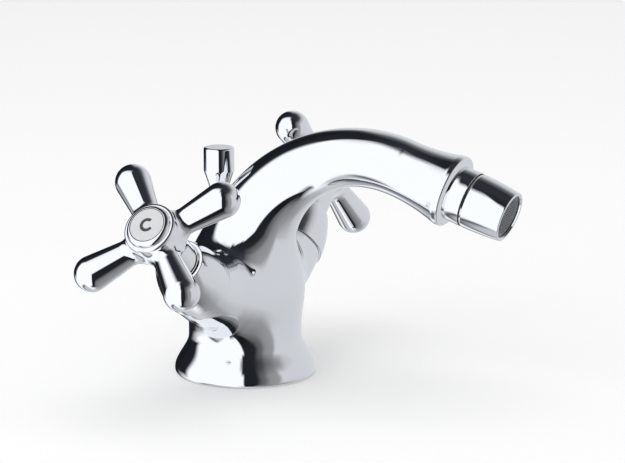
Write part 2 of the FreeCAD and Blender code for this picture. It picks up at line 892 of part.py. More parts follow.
def aerator_insert():
    cup = lathe(
        "insert_cup",
        [
            ("0", "insert_foot"),
            ("insert_radius", "insert_foot"),
            ("insert_radius", "insert_front"),
            ("mesh_seat", "insert_front"),
            ("mesh_seat", "mesh_floor"),
            ("mesh_seat - insert_wall", "mesh_floor"),
            ("mesh_seat - insert_wall", "insert_foot + insert_floor"),
            ("0", "insert_foot + insert_floor"),
        ],
    )
    jets = []
    for number in range(JETS):
        angle = f"360 * {number} / {JETS}"
        x = f"jet_circle * cos({angle})"
        y = f"jet_circle * sin({angle})"
        jets.append(drum(f"jet_{number}", "jet_radius", "insert_floor", x=x, y=y, z="insert_foot"))
    return on_spout_end(cut("aerator_insert", cup, jets))


def mesh_screen():
    # a round plate with a square net of square holes
    radius = sheet.get("mesh_seat") - sheet.get("insert_gap")
    pitch = sheet.get("mesh_pitch")
    half = sheet.get("mesh_hole") / 2
    level = sheet.get("mesh_floor")
    rim = FreeCAD.Vector(0, 0, level)
    wires = [Part.Wire(Part.makeCircle(radius, rim))]
    reach = int(radius / pitch)
    for column in range(-reach, reach + 1):
        for row in range(-reach, reach + 1):
            x = column * pitch
            y = row * pitch
            if (abs(x) + half) ** 2 + (abs(y) + half) ** 2 > (radius - half) ** 2:
                continue
            square = [(x - half, y - half), (x + half, y - half), (x + half, y + half), (x - half, y + half)]
            corners = [FreeCAD.Vector(px, py, level) for px, py in square + square[:1]]
            wires.append(Part.makePolygon(corners))
    face = Part.makeFace(wires, "Part::FaceMakerBullseye")
    screen = doc.addObject("Part::Feature", "mesh_screen")
    screen.Shape = face.extrude(FreeCAD.Vector(0, 0, sheet.get("mesh_height")))
    return on_spout_end(screen)


def all_pieces():
    pieces = [body_casting(), base_seal()]
    for side in SIDES:
        pieces += valve_pieces(side)
    pieces += [lift_rod(), lift_knob(), rod_guide()]
    pieces += [aerator_washer(), swivel_collar(), ball_seal(), ball_seat_ring()]
    pieces += [swivel_ball(), nozzle_shell(), aerator_insert(), mesh_screen()]
    return pieces


def check(pieces):
    for thing in doc.Objects:
        if "Invalid" in thing.State or "Error" in thing.State:
            raise RuntimeError(f"{thing.Label} failed: {thing.State}")
    for piece in pieces:
        shape = piece.Shape
        if shape.isNull() or not shape.isValid() or len(shape.Solids) != 1:
            raise RuntimeError(f"{piece.Label} is not one sound solid")


fill_sheet()
pieces = all_pieces()
sheet.clear(SPARE_CELL)
doc.recompute()
check(pieces)
os.makedirs("parts", exist_ok=True)
for piece in pieces:
    piece.Shape.exportStep(f"parts/{piece.Label}.step")
    print(piece.Label, round(piece.Shape.Volume, 1))
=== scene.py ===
import json
import math

import bpy
import numpy as np
from mathutils import Matrix, Vector


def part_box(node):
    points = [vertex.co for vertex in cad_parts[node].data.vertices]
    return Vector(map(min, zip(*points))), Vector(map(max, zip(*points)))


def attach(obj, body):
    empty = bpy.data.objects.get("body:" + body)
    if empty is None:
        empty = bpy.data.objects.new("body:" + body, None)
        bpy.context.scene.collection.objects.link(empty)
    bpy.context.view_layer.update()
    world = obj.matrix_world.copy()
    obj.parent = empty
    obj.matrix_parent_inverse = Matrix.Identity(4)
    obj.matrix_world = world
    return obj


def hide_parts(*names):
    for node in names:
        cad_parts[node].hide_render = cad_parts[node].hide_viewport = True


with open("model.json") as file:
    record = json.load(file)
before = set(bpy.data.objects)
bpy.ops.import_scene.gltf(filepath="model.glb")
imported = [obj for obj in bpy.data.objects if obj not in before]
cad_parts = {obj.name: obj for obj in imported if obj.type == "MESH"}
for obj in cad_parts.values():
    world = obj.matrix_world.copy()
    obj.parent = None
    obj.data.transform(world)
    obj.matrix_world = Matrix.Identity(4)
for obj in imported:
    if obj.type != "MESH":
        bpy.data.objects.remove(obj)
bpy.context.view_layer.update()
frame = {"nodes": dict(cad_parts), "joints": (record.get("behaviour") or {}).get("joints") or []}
nodes = frame["nodes"]
joints = {joint["name"]: joint for joint in frame["joints"]}
mm = 0.001  # the shapes below are written in millimetres
sides = {"left": -1, "right": 1}
print("frame loaded:", len(nodes), "CAD nodes")


# places taken from the frame's joints

def valvePlace(side):  # local z runs up the valve, from where its axis crosses the middle of the tap
    joint = joints[side + "_handle_turn"]
    axis = Vector(joint["axis"])
    hub = Vector(joint["pos_m"])
    root = hub - axis * (hub.x / axis.x)
    tilt = math.copysign(math.acos(axis.z), axis.x)
    return Matrix.Translation(root) @ Matrix.Rotation(tilt, 4, "Y")


def handlePlace(side):  # local z = 0 is the level of the handle's arms
    joint = joints[side + "_handle_turn"]
    lift = Vector(joint["pos_m"]).x / joint["axis"][0]
    return valvePlace(side) @ Matrix.Translation((0, 0, lift))


spin = joints["outlet_spin"]
exitDrop = math.asin(-spin["axis"][2])
outletPlace = Matrix.Translation(spin["pos_m"]) @ Matrix.Rotation(math.pi / 2 + exitDrop, 4, "X")
rodCentre = (Vector(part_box("lift_rod")[0]) + Vector(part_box("lift_rod")[1])) / 2
rodPlace = Matrix.Translation((rodCentre.x, rodCentre.y, 0))


# modelling helpers

def deselectAll():
    if bpy.context.mode != "OBJECT":
        bpy.ops.object.mode_set(mode="OBJECT")
    bpy.ops.object.select_all(action="DESELECT")


def chooseOnly(piece):
    deselectAll()
    piece.select_set(True)
    bpy.context.view_layer.objects.active = piece


def editMode(piece, mode="VERT"):
    chooseOnly(piece)
    bpy.context.tool_settings.mesh_select_mode = (mode == "VERT", mode == "EDGE", mode == "FACE")
    bpy.ops.object.mode_set(mode="EDIT")


def pick(piece, kind, mask):  # selects vertices or faces by a mask, then opens edit mode
    deselectAll()
    mesh = piece.data
    for group in (mesh.vertices, mesh.edges, mesh.polygons):
        group.foreach_set("select", np.zeros(len(group), bool))
    chosen = mesh.polygons if kind == "FACE" else mesh.vertices
    chosen.foreach_set("select", mask)
    editMode(piece, kind)


def readPoints(items, field):  # vertex places or face centres, in millimetres
    flat = np.empty(len(items) * 3)
    items.foreach_get(field, flat)
    return flat.reshape(-1, 3) / mm


def writePoints(piece, points):
    piece.data.vertices.foreach_set("co", (points * mm).ravel())
    piece.data.update()


def localPoints(points, place):
    inverse = place.inverted()
    turn = np.array(inverse.to_3x3())
    return points @ turn.T + np.array(inverse.translation) / mm


def fromAxis(points):  # each point's distance from the z axis
    return np.hypot(points[:, 0], points[:, 1])


def startRing(name, radius, height, count):
    deselectAll()
    bpy.ops.mesh.primitive_circle_add(vertices=count, radius=radius * mm, location=(0, 0, height * mm))
    piece = bpy.context.object
    piece.name = name
    bpy.ops.object.transform_apply(location=True, rotation=True, scale=True)
    editMode(piece)
    bpy.ops.mesh.select_all(action="SELECT")
    return piece


def followRings(rings, place=Matrix()):  # extrudes the selected ring through (radius, height) steps
    turn = place.to_3x3()
    for (radius, height), (nextRadius, nextHeight) in zip(rings, rings[1:]):
        step = turn @ Vector((0, 0, (nextHeight - height) * mm))
        bpy.ops.mesh.extrude_region_move(TRANSFORM_OT_translate={"value": step})
        middle = place @ Vector((0, 0, nextHeight * mm))
        bpy.ops.transform.resize(value=(nextRadius / radius,) * 3, center_override=middle)


def selectOpenEdges(wire=False):
    bpy.context.tool_settings.mesh_select_mode = (False, True, False)
    bpy.ops.mesh.select_non_manifold(extend=False, use_wire=wire, use_boundary=True, use_multi_face=False,
                                     use_non_contiguous=False, use_verts=False)


def closeMesh(joinEnds=False):
    bpy.ops.mesh.select_all(action="SELECT")
    if joinEnds:
        bpy.ops.mesh.remove_doubles(threshold=0.002 * mm)
    bpy.ops.mesh.fill_holes(sides=0)
    bpy.ops.mesh.normals_make_consistent(inside=False)
    bpy.ops.object.mode_set(mode="OBJECT")


def turnPiece(name, rings, count=128, tube=False):  # a tube's last ring is its first one
    piece = startRing(name, *rings[0], count)
    followRings(list(rings) + [rings[0]] if tube else rings)
    closeMesh(joinEnds=tube)
    return piece


def softCorners(corners, steps=5):  # rounds the (radius, height, rounding) corners of a turned outline
    rings = []
    for index, (radius, height, rounding) in enumerate(corners):
        here = Vector((radius, height))
        if rounding == 0:
            rings.append(tuple(here))
            continue
        before = (Vector(corners[index - 1][:2]) - here).normalized()
        after = (Vector(corners[(index + 1) % len(corners)][:2]) - here).normalized()
        half = before.angle(after) / 2
        middle = here + (before + after).normalized() * rounding / math.sin(half)
        first = here + before * rounding / math.tan(half) - middle
        last = here + after * rounding / math.tan(half) - middle
        sweep = math.atan2(first.x * last.y - first.y * last.x, first.dot(last))
        for step in range(steps + 1):
            rings.append(tuple(middle + Matrix.Rotation(sweep * step / steps, 2) @ first))
    return rings


def levelArc(level, other, steps):  # arc of rings that starts parallel to the axis at the level end
    (r1, z1), (r2, z2) = level, other
    middle = (r1**2 - r2**2 - (z2 - z1) ** 2) / (2 * (r1 - r2))
    radius = r1 - middle
    sweep = math.asin((z2 - z1) / abs(radius))
    angles = [sweep * step / steps for step in range(steps + 1)]
    return [(middle + radius * math.cos(angle), z1 + abs(radius) * math.sin(angle)) for angle in angles]


def plainCorners(rings):  # corners that stay sharp
    return [(radius, height, 0) for radius, height in rings]


def setFinishes(piece, *finishes):  # the first one covers the whole piece
    piece.data.materials.clear()
    for finish in finishes:
        piece.data.materials.append(finish)


def coatFaces(piece, index, mask):  # gives some faces another of the piece's finishes
    pick(piece, "FACE", mask)
    piece.active_material_index = index
    bpy.ops.object.material_slot_assign()
    bpy.ops.object.mode_set(mode="OBJECT")


def finishPiece(piece, body, material, replaced=(), place=None, angle=35):
    chooseOnly(piece)
    if place is not None:
        piece.matrix_world = place
        bpy.ops.object.transform_apply(location=True, rotation=True, scale=True)
    bpy.ops.object.shade_smooth_by_angle(angle=math.radians(angle))
    if material is not None:
        setFinishes(piece, material)
    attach(piece, body)
    if replaced:
        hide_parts(*replaced)
    return piece


def copyPiece(piece, name):
    chooseOnly(piece)
    bpy.ops.object.duplicate(linked=False)
    twin = bpy.context.object
    twin.name = name
    return twin


def cutAway(piece, cutter):
    chooseOnly(piece)
    bpy.ops.object.modifier_add(type="BOOLEAN")
    piece.modifiers[-1].operation = "DIFFERENCE"
    piece.modifiers[-1].object = cutter
    bpy.ops.object.modifier_apply(modifier=piece.modifiers[-1].name)
    bpy.data.objects.remove(cutter)


# blended skins: a smooth union of simple forms that the mesh is drawn onto

def smoothUnion(a, b, blend):
    share = np.clip(0.5 + 0.5 * (b - a) / blend, 0, 1)
    return b + (a - b) * share - blend * share * (1 - share)


def slopes(field, points, probe=0.02):
    steps = probe * np.eye(3)
    return np.stack([field(points + step) - field(points - step) for step in steps], 1) / (2 * probe)


def settle(piece, field, chosen, rounds=3):  # moves the chosen vertices onto the skin
    points = readPoints(piece.data.vertices, "co")
    near = points[chosen]
    for _ in range(rounds):
        slope = slopes(field, near)
        near = near - (field(near) / np.maximum((slope**2).sum(1), 0.05))[:, None] * slope
    points[chosen] = near
    writePoints(piece, points)


def relax(piece, field, chosen, rounds=10):  # evens the mesh out on the skin
    settle(piece, field, chosen)
    for _ in range(rounds):
        pick(piece, "VERT", chosen)
        bpy.ops.mesh.vertices_smooth(factor=0.5, repeat=4)
        bpy.ops.object.mode_set(mode="OBJECT")
        settle(piece, field, chosen)


def polish(piece, field):  # faces that lie on the skin take its exact normals
    mesh = piece.data
    points = readPoints(mesh.vertices, "co")
    onSkin = np.abs(field(points)) < 0.03
    corners = np.empty(len(mesh.loops), int)
    mesh.loops.foreach_get("vertex_index", corners)
    owner = np.repeat(np.arange(len(mesh.polygons)), [face.loop_total for face in mesh.polygons])
    wholly = np.ones(len(mesh.polygons), bool)
    np.logical_and.at(wholly, owner, onSkin[corners])
    faceNormals = readPoints(mesh.polygons, "normal") * mm
    normals = np.zeros((len(points), 3))
    normals[onSkin] = slopes(field, points[onSkin])
    normals /= np.maximum(np.linalg.norm(normals, axis=1), 1e-9)[:, None]
    byCorner = normals[corners]
    smooth = wholly[owner] & ((byCorner * faceNormals[owner]).sum(1) > 0.9)
    byCorner[~smooth] = 0
    mesh.normals_split_custom_set(byCorner)


def growBranch(piece, place, hole, reach, ring, cuts):
    # opens a hole round the branch's axis and bridges its edge to a ring further out
    centres = localPoints(readPoints(piece.data.polygons, "center"), place)
    along = centres[:, 2]
    pick(piece, "FACE", (fromAxis(centres) < hole) & (along > reach[0]) & (along < reach[1]))
    bpy.ops.mesh.delete(type="FACE")
    selectOpenEdges()
    bpy.ops.object.mode_set(mode="OBJECT")
    count = sum(edge.select for edge in piece.data.edges)
    editMode(piece, "EDGE")
    radius, height = ring
    middle = place @ Vector((0, 0, height * mm))
    bpy.ops.mesh.primitive_circle_add(vertices=count, radius=radius * mm, location=middle,
                                      rotation=place.to_euler())
    selectOpenEdges(wire=True)
    bpy.ops.mesh.bridge_edge_loops(number_cuts=cuts, interpolation="LINEAR")
    selectOpenEdges()


# finishes

grainDepth = 0.0002
noiseSpan = (0.3, 0.7)  # where most of a noise's values lie


def newFinish(name):
    material = bpy.data.materials.new(name)
    material.use_nodes = True
    tree = material.node_tree
    return material, tree, tree.nodes["Principled BSDF"]


def addNoise(tree, scale, detail=3.0):
    coords = tree.nodes.new("ShaderNodeTexCoord")
    noise = tree.nodes.new("ShaderNodeTexNoise")
    noise.inputs["Scale"].default_value = scale
    noise.inputs["Detail"].default_value = detail
    tree.links.new(coords.outputs["Object"], noise.inputs["Vector"])
    return noise


def addRamp(tree, source, low, high):  # maps a texture to a range of values
    ramp = tree.nodes.new("ShaderNodeMapRange")
    ramp.inputs["From Min"].default_value = noiseSpan[0]
    ramp.inputs["From Max"].default_value = noiseSpan[1]
    ramp.inputs["To Min"].default_value = low
    ramp.inputs["To Max"].default_value = high
    tree.links.new(source, ramp.inputs["Value"])
    return ramp.outputs["Result"]


def addTint(tree, source, dark, light):
    mix = tree.nodes.new("ShaderNodeMix")
    mix.data_type = "RGBA"
    mix.inputs["A"].default_value = (*dark, 1)
    mix.inputs["B"].default_value = (*light, 1)
    tree.links.new(source, mix.inputs["Factor"])
    return mix.outputs["Result"]


def addBump(tree, source, strength):
    bump = tree.nodes.new("ShaderNodeBump")
    bump.inputs["Strength"].default_value = strength
    bump.inputs["Distance"].default_value = grainDepth
    tree.links.new(source, bump.inputs["Height"])
    return bump.outputs["Normal"]


def metal(name, dark, light, rough, scale, grain=0.0):
    material, tree, shader = newFinish(name)
    noise = addNoise(tree, scale)
    shader.inputs["Metallic"].default_value = 1.0
    tree.links.new(addTint(tree, noise.outputs["Fac"], dark, light), shader.inputs["Base Color"])
    tree.links.new(addRamp(tree, noise.outputs["Fac"], *rough), shader.inputs["Roughness"])
    if grain:
        fine = addNoise(tree, scale * 30, 2.0)
        tree.links.new(addBump(tree, fine.outputs["Fac"], grain), shader.inputs["Normal"])
    return material


def moulded(name, dark, light, rough, scale, grain, coat=0.0):
    material, tree, shader = newFinish(name)
    noise = addNoise(tree, scale)
    fine = addNoise(tree, scale * 12, 2.0)
    shader.inputs["Coat Weight"].default_value = coat
    tree.links.new(addTint(tree, noise.outputs["Fac"], dark, light), shader.inputs["Base Color"])
    tree.links.new(addRamp(tree, noise.outputs["Fac"], *rough), shader.inputs["Roughness"])
    tree.links.new(addBump(tree, fine.outputs["Fac"], grain), shader.inputs["Normal"])
    return material


chrome = metal("chrome", (0.80, 0.81, 0.83), (0.83, 0.84, 0.855), (0.02, 0.045), 45)
handleChrome = metal("handleChrome", (0.80, 0.81, 0.83), (0.83, 0.84, 0.855), (0.02, 0.045), 60)
rodSteel = metal("rodSteel", (0.70, 0.71, 0.73), (0.75, 0.76, 0.78), (0.07, 0.13), 90)
steel = metal("steel", (0.36, 0.365, 0.375), (0.47, 0.475, 0.485), (0.22, 0.38), 160, 0.15)
screenWire = metal("screenWire", (0.17, 0.172, 0.178), (0.26, 0.263, 0.27), (0.28, 0.4), 300)
brass = metal("brass", (0.50, 0.33, 0.10), (0.62, 0.43, 0.15), (0.22, 0.42), 140, 0.25)
discFinish = moulded("discFinish", (0.70, 0.705, 0.715), (0.76, 0.765, 0.775), (0.32, 0.45), 300, 0.04)
enamel = moulded("enamel", (0.020, 0.021, 0.024), (0.032, 0.033, 0.036), (0.3, 0.45), 400, 0.1, 0.3)
# painted shade: a near-black finish that stands in for the shadow down in the cap's narrow groove
grooveShade = moulded("grooveShade", (0.02, 0.02, 0.022), (0.045, 0.045, 0.047), (0.6, 0.8), 500, 0.2)
rubber = moulded("rubber", (0.012, 0.012, 0.013), (0.024, 0.024, 0.026), (0.6, 0.8), 220, 0.3)
blackPlastic = moulded("blackPlastic", (0.009, 0.009, 0.01), (0.016, 0.016, 0.018), (0.28, 0.42), 250, 0.15,
                       0.2)
ceramic = moulded("ceramic", (0.78, 0.78, 0.74), (0.86, 0.86, 0.83), (0.08, 0.16), 200, 0.05, 0.6)
print("finishes mixed")


# the casting: foot, column, arched spout and two branches

casting = {
    "count": 176,
    "footRadius": 30.0,
    "footRound": 1.8,
    "footEdge": 2.2,
    "waistRadius": 24.0,
    "waistHeight": 16.5,
    "rootRadius": 23.6,
    "bendHeight": 41.2,
    "bendRadius": 56.0,
    "spoutRadius": 12.2,
    "flareLength": 22.0,
    "rimRadius": 15.2,
    "rimLength": 2.5,
    "rimRound": 0.9,
    "socketRadius": 11.05,
    "socketDepth": 9.0,
    "grooveInner": 24.4,
    "grooveOuter": 27.2,
    "grooveDepth": 2.0,
    "plugRadius": 19.0,
    "branchRoot": 12.0,
    "branchRootHeight": 37.0,
    "branchRootRadius": 19.0,
    "branchEnd": 53.0,
    "branchLead": 20.0,
    "branchRaise": 2.0,
    "branchLift": 6.0,
    "branchRadius": 13.8,
    "branchHole": 17.5,
    "seatRadius": 10.5,
    "seatFloor": 38.0,
    "noseRadius": 8.8,
    "noseFloor": 27.0,
    "rodHole": 3.6,
    "guideHole": 4.43,
    "guideTop": 44.0,
    "studOffset": 12.0,
    "studRadius": 4.0,
    "studDepth": 14.0,
    "inletOffset": 9.31,
    "inletRadius": 5.0,
    "inletTop": 20.37,
    "blend": 10.0,
    "blendReach": 42.0,
    "ease": 9.0,
}
bendTurn = math.pi / 2 + exitDrop
bendMiddle = np.array([0.0, -casting["bendRadius"], casting["bendHeight"]])
exitLine = np.array([0.0, -math.cos(exitDrop), -math.sin(exitDrop)])
bendEnd = bendMiddle + casting["bendRadius"] * np.array([0.0, -math.sin(exitDrop), math.cos(exitDrop)])
bendLength = casting["bendRadius"] * bendTurn
spoutLength = casting["flareLength"] + casting["rimLength"]


def alongSpout(points):  # how far along the middle line each point is, and the line's place there
    y, z = points[:, 1] - bendMiddle[1], points[:, 2] - bendMiddle[2]
    angle = np.arctan2(z, y)
    past = (points - bendEnd) @ exitLine
    column = angle < 0
    straight = angle > bendTurn
    length = np.where(column, z, np.where(straight, bendLength + past, casting["bendRadius"] * angle))
    middle = bendMiddle + casting["bendRadius"] * np.stack([0 * angle, np.cos(angle), np.sin(angle)], 1)
    middle[column] = np.stack([0 * y, 0 * y, points[:, 2]], 1)[column]
    middle[straight] = (bendEnd + past[:, None] * exitLine)[straight]
    return length, middle


def plainRadius(length):  # the spout's radius from its foot to its rim
    c = casting
    height = length + c["bendHeight"]
    low = np.clip(height, 0, c["footRound"])
    foot = c["footRadius"] - c["footRound"] + np.sqrt(c["footRound"] ** 2 - (c["footRound"] - low) ** 2)
    drop = np.clip((c["waistHeight"] - height) / (c["waistHeight"] - c["footEdge"]), 0, 1)
    flare = (c["footRadius"] - c["waistRadius"]) * drop**2 * (3 - 2 * drop)
    taper = (height - c["waistHeight"]) / (c["bendHeight"] - c["waistHeight"])
    column = c["waistRadius"] + flare + (c["rootRadius"] - c["waistRadius"]) * np.clip(taper, 0, 1)
    column = np.where(height < c["footEdge"], foot, column)
    thin = (1 - np.clip(length / (c["bendRadius"] * math.pi / 2), 0, 1)) ** 2
    bend = c["spoutRadius"] + (c["rootRadius"] - c["spoutRadius"]) * thin
    past = np.clip(length - bendLength, 0, c["flareLength"])
    rise = c["rimRadius"] - c["spoutRadius"]
    bell = (rise**2 + c["flareLength"] ** 2) / (2 * rise)
    mouth = bend + bell - np.sqrt(bell**2 - past**2)
    tip = np.clip(length - bendLength - spoutLength + c["rimRound"], 0, c["rimRound"])
    mouth = mouth - c["rimRound"] + np.sqrt(c["rimRound"] ** 2 - tip**2)
    return np.where(length < 0, column, mouth)


def spoutRadius(length):  # the same, with the step from column to bend eased out
    reach = casting["ease"] * np.exp(-((length / (2 * casting["ease"])) ** 4))
    return np.mean([plainRadius(length + share * reach) for share in np.linspace(-1, 1, 15)], 0)


def spoutField(points):
    length, middle = alongSpout(points)
    return np.linalg.norm(points - middle, axis=1) - spoutRadius(length)


def branchLine(side, share):  # the branch's middle line and radius, from the column (0) to the shroud (1)
    c = casting
    end = np.array(valvePlace(side) @ Vector((0, 0, c["branchEnd"] * mm))) / mm
    lead = np.array(valvePlace(side) @ Vector((0, 0, (c["branchEnd"] - c["branchLead"]) * mm))) / mm
    lead[2] += c["branchRaise"]
    root = np.array([0, 0, c["branchRootHeight"]])
    rest = np.clip(1 - share, 0, 1)
    share = share[:, None]
    middle = (1 - share) ** 2 * root + 2 * share * (1 - share) * lead + share**2 * end
    radius = c["branchRadius"] + (c["branchRootRadius"] - c["branchRadius"]) * rest**1.5
    return middle, radius, c["branchLift"] * rest


def branchField(points, side):
    def gap(share):  # the branch is taller than wide, so its core is an upright line
        middle, radius, lift = branchLine(side, share)
        away = points - middle
        away[:, 2] -= np.clip(away[:, 2], 0, lift)
        return np.linalg.norm(away, axis=1) - radius

    tries = np.linspace(0, 1, 13)
    best = tries[np.argmin([gap(np.full(len(points), share)) for share in tries], 0)]
    step = 1 / 16
    for _ in range(3):  # closes in on the nearest place along the line
        low, here, high = gap(best - step), gap(best), gap(best + step)
        bend = np.maximum(low - 2 * here + high, 1e-9)
        best = best + np.clip(0.5 * step * (low - high) / bend, -step, step)
        step /= 6
    return gap(np.clip(best, 0, 1.2))


def castingField(points):
    field = spoutField(points)
    for side in sides:
        field = smoothUnion(field, branchField(points, side), casting["blend"])
    return field


def inBore(points, side):  # where the branch is bored for the headwork
    c = casting
    local = localPoints(points, valvePlace(side))
    away, along = fromAxis(local), local[:, 2]
    radius = np.where(along > c["seatFloor"] - 0.1, c["seatRadius"], c["noseRadius"])
    return (away < radius + 0.1) & (along > c["noseFloor"] - 0.1)


def buildCasting():
    c = casting
    underside = [
        (c["plugRadius"], 0),
        (c["grooveInner"], 0),
        (c["grooveInner"], c["grooveDepth"]),
        (c["grooveOuter"], c["grooveDepth"]),
        (c["grooveOuter"], 0),
        (c["footRadius"] - c["footRound"], 0),
    ]
    heights = [c["footRound"] * (1 - math.cos(math.pi / 2 * step / 5)) for step in range(1, 6)]
    heights += list(np.linspace(c["footRound"], c["footEdge"], 4)[1:])
    heights += list(np.linspace(c["footEdge"], c["waistHeight"], 15)[1:])
    heights += list(np.linspace(c["waistHeight"], c["bendHeight"], 16)[1:])
    piece = startRing("casting", *underside[0], c["count"])
    followRings(underside + [(c["footRadius"] - c["footRound"], height) for height in heights])
    bpy.ops.mesh.spin(steps=90, angle=-bendTurn, center=Vector(bendMiddle) * mm, axis=(1, 0, 0))
    exits = list(np.linspace(0, spoutLength - c["rimRound"], 20))
    exits += [spoutLength - c["rimRound"] * (1 - math.sin(math.pi / 2 * step / 6)) for step in range(1, 7)]
    exitPlace = Matrix.Translation(Vector(bendEnd) * mm) @ Matrix.Rotation(bendTurn, 4, "X")
    followRings([(1, height) for height in exits], exitPlace)
    bpy.ops.object.mode_set(mode="OBJECT")
    # the rings get their radius
    points = readPoints(piece.data.vertices, "co")
    length, middle = alongSpout(points)
    radial = points - middle
    radial /= np.linalg.norm(radial, axis=1)[:, None]
    outside = np.arange(len(points)) >= len(underside) * c["count"]
    points[outside] = (middle + radial * spoutRadius(length)[:, None])[outside]
    writePoints(piece, points)
    # the mouth's face and the socket in it
    pick(piece, "VERT", (points - bendEnd) @ exitLine > spoutLength - 0.01)
    followRings([(c["rimRadius"] - c["rimRound"], spoutLength), (c["socketRadius"], spoutLength),
                 (c["socketRadius"], spoutLength - c["socketDepth"])], exitPlace)
    closeMesh()
    # the branches, drawn smoothly out of the column and bored for the headwork
    for side in sides:
        growBranch(piece, valvePlace(side), c["branchHole"], (c["branchRoot"], c["branchEnd"]),
                   (c["branchRadius"], c["branchEnd"]), 30)
        followRings([(c["branchRadius"], c["branchEnd"]), (c["seatRadius"], c["branchEnd"]),
                     (c["seatRadius"], c["seatFloor"]), (c["noseRadius"], c["seatFloor"]),
                     (c["noseRadius"], c["noseFloor"])], valvePlace(side))
        closeMesh()
    points = readPoints(piece.data.vertices, "co")
    chosen = np.zeros(len(points), bool)
    for side in sides:
        local = localPoints(points, valvePlace(side))
        near = (fromAxis(local) < c["blendReach"]) & ~inBore(points, side)
        chosen |= near & (local[:, 2] > c["branchRoot"]) & (local[:, 2] < c["branchEnd"] - 0.01)
    front = (np.abs(points[:, 0]) < c["branchRoot"]) & (fromAxis(points) > c["plugRadius"])
    chosen |= front & (points[:, 2] < c["bendHeight"])  # where the two branches meet
    chosen &= points[:, 2] > c["footEdge"] + 1
    relax(piece, castingField, chosen, 6)
    # holes for the rod and its bush, the fixing stud and the two inlets
    drills = [(0, rodCentre.y / mm, c["rodHole"], 90), (0, rodCentre.y / mm, c["guideHole"], c["guideTop"]),
              (0, -c["studOffset"], c["studRadius"], c["studDepth"])]
    drills += [(sign * c["inletOffset"], 0, c["inletRadius"], c["inletTop"]) for sign in sides.values()]
    for x, y, radius, top in drills:
        drill = turnPiece("drill", [(radius, -5), (radius, top)], 48)
        drill.location = (x * mm, y * mm, 0)
        cutAway(piece, drill)
    # bare brass where the plating doesn't reach
    setFinishes(piece, chrome, brass)
    centres = readPoints(piece.data.polygons, "center")
    bare = (centres[:, 2] < c["grooveDepth"] + 0.1) & (fromAxis(centres) < c["grooveOuter"] + 0.5)
    for x, y, radius, top in drills:
        bare |= (fromAxis(centres - (x, y, 0)) < radius + 0.03) & (centres[:, 2] < top + 0.01)
    for side in sides:
        bare |= inBore(centres, side)
    coatFaces(piece, 1, bare)
    return piece


castingPiece = finishPiece(buildCasting(), "root", None, ["body_casting"])
polish(castingPiece, castingField)
print("casting drawn:", len(castingPiece.data.polygons), "faces")


# valve shrouds: a bell over each headwork

shroud = {
    "foot": 53.0,
    "top": 73.0,
    "rim": 14.5,
    "rimRound": 0.6,
    "lip": 10.3,
    "lipRound": 0.45,
    "bore": 9.1,
    "wall": 1.2,
}


def buildShroud():
    s = shroud
    outer = levelArc((s["rim"], s["foot"]), (s["lip"], s["top"]), 36)
    inner = levelArc((s["rim"] - s["wall"], s["foot"]), (s["bore"], s["top"] - 2 * s["wall"]), 12)
    corners = [(s["rim"], s["foot"], s["rimRound"])]
    corners += plainCorners(outer[2:-1])
    corners += [(s["lip"], s["top"], s["lipRound"]), (s["bore"], s["top"], 0.3)]
    corners += plainCorners(inner[:0:-1])
    corners += [(s["rim"] - s["wall"], s["foot"], 0.2)]
    return turnPiece("leftShroud", softCorners(corners), 144, tube=True)


leftShroud = buildShroud()
rightShroud = copyPiece(leftShroud, "rightShroud")
for piece, side in ((leftShroud, "left"), (rightShroud, "right")):
    finishPiece(piece, "root", chrome, [side + "_valve_shroud"], valvePlace(side))
print("shrouds turned")


# cross handles: one hub with four club arms, copied for the other side

handle = {
    "count": 144,
    "foot": -23.8,
    "bore": 7.2,
    "boreTop": -16.9,
    "neck": 8.7,
    "flareFoot": -11.5,
    "hubFoot": -4.5,
    "hub": 10.9,
    "top": 8.5,
    "topRound": 1.2,
    "recess": 9.3,
    "recessFloor": 5.5,
    "screwHead": 4.7,
    "screwFloor": -2.2,
    "screwHole": 2.05,
    "socket": 4.0,
    "socketTop": -5.2,
    "armRoot": 9.2,
    "armRootRadius": 5.0,
    "bulb": 7.42,
    "bulbAt": 30.05,
    "armHole": 5.9,
    "armStart": 18.0,
    "arms": 4,
    "blend": 4.0,
    "clock": {"left": 39.8, "right": 78.6},
}
toBulb = handle["bulbAt"] - handle["armRoot"]
armSlope = math.asin(handle["bulb"] / math.hypot(toBulb, handle["armRootRadius"]))
armSlope -= math.atan(handle["armRootRadius"] / toBulb)
bulbStart = handle["bulbAt"] - handle["bulb"] * math.sin(armSlope)


def armPlace(index):
    turn = Matrix.Rotation(2 * math.pi * index / handle["arms"], 4, "Z")
    return turn @ Matrix.Rotation(math.pi / 2, 4, "Y")


def hubRadius(height):
    h = handle
    rise = np.clip(height - h["flareFoot"], 0, h["hubFoot"] - h["flareFoot"])
    step = h["hub"] - h["neck"]
    sweep = (step**2 + (h["hubFoot"] - h["flareFoot"]) ** 2) / (2 * step)
    return h["neck"] + sweep - np.sqrt(sweep**2 - rise**2)


def handleField(points):
    h = handle
    field = fromAxis(points) - hubRadius(points[:, 2])
    for index in range(h["arms"]):
        local = localPoints(points, armPlace(index))
        away, along = fromAxis(local), local[:, 2]
        arm = away - h["armRootRadius"] - math.tan(armSlope) * (along - h["armRoot"])
        tip = np.hypot(away, along - h["bulbAt"]) - h["bulb"]
        arm = np.where(along > h["bulbAt"] - away * math.tan(armSlope), tip, arm * math.cos(armSlope))
        field = smoothUnion(field, np.where(along > 0, arm, 99), h["blend"])
    return field


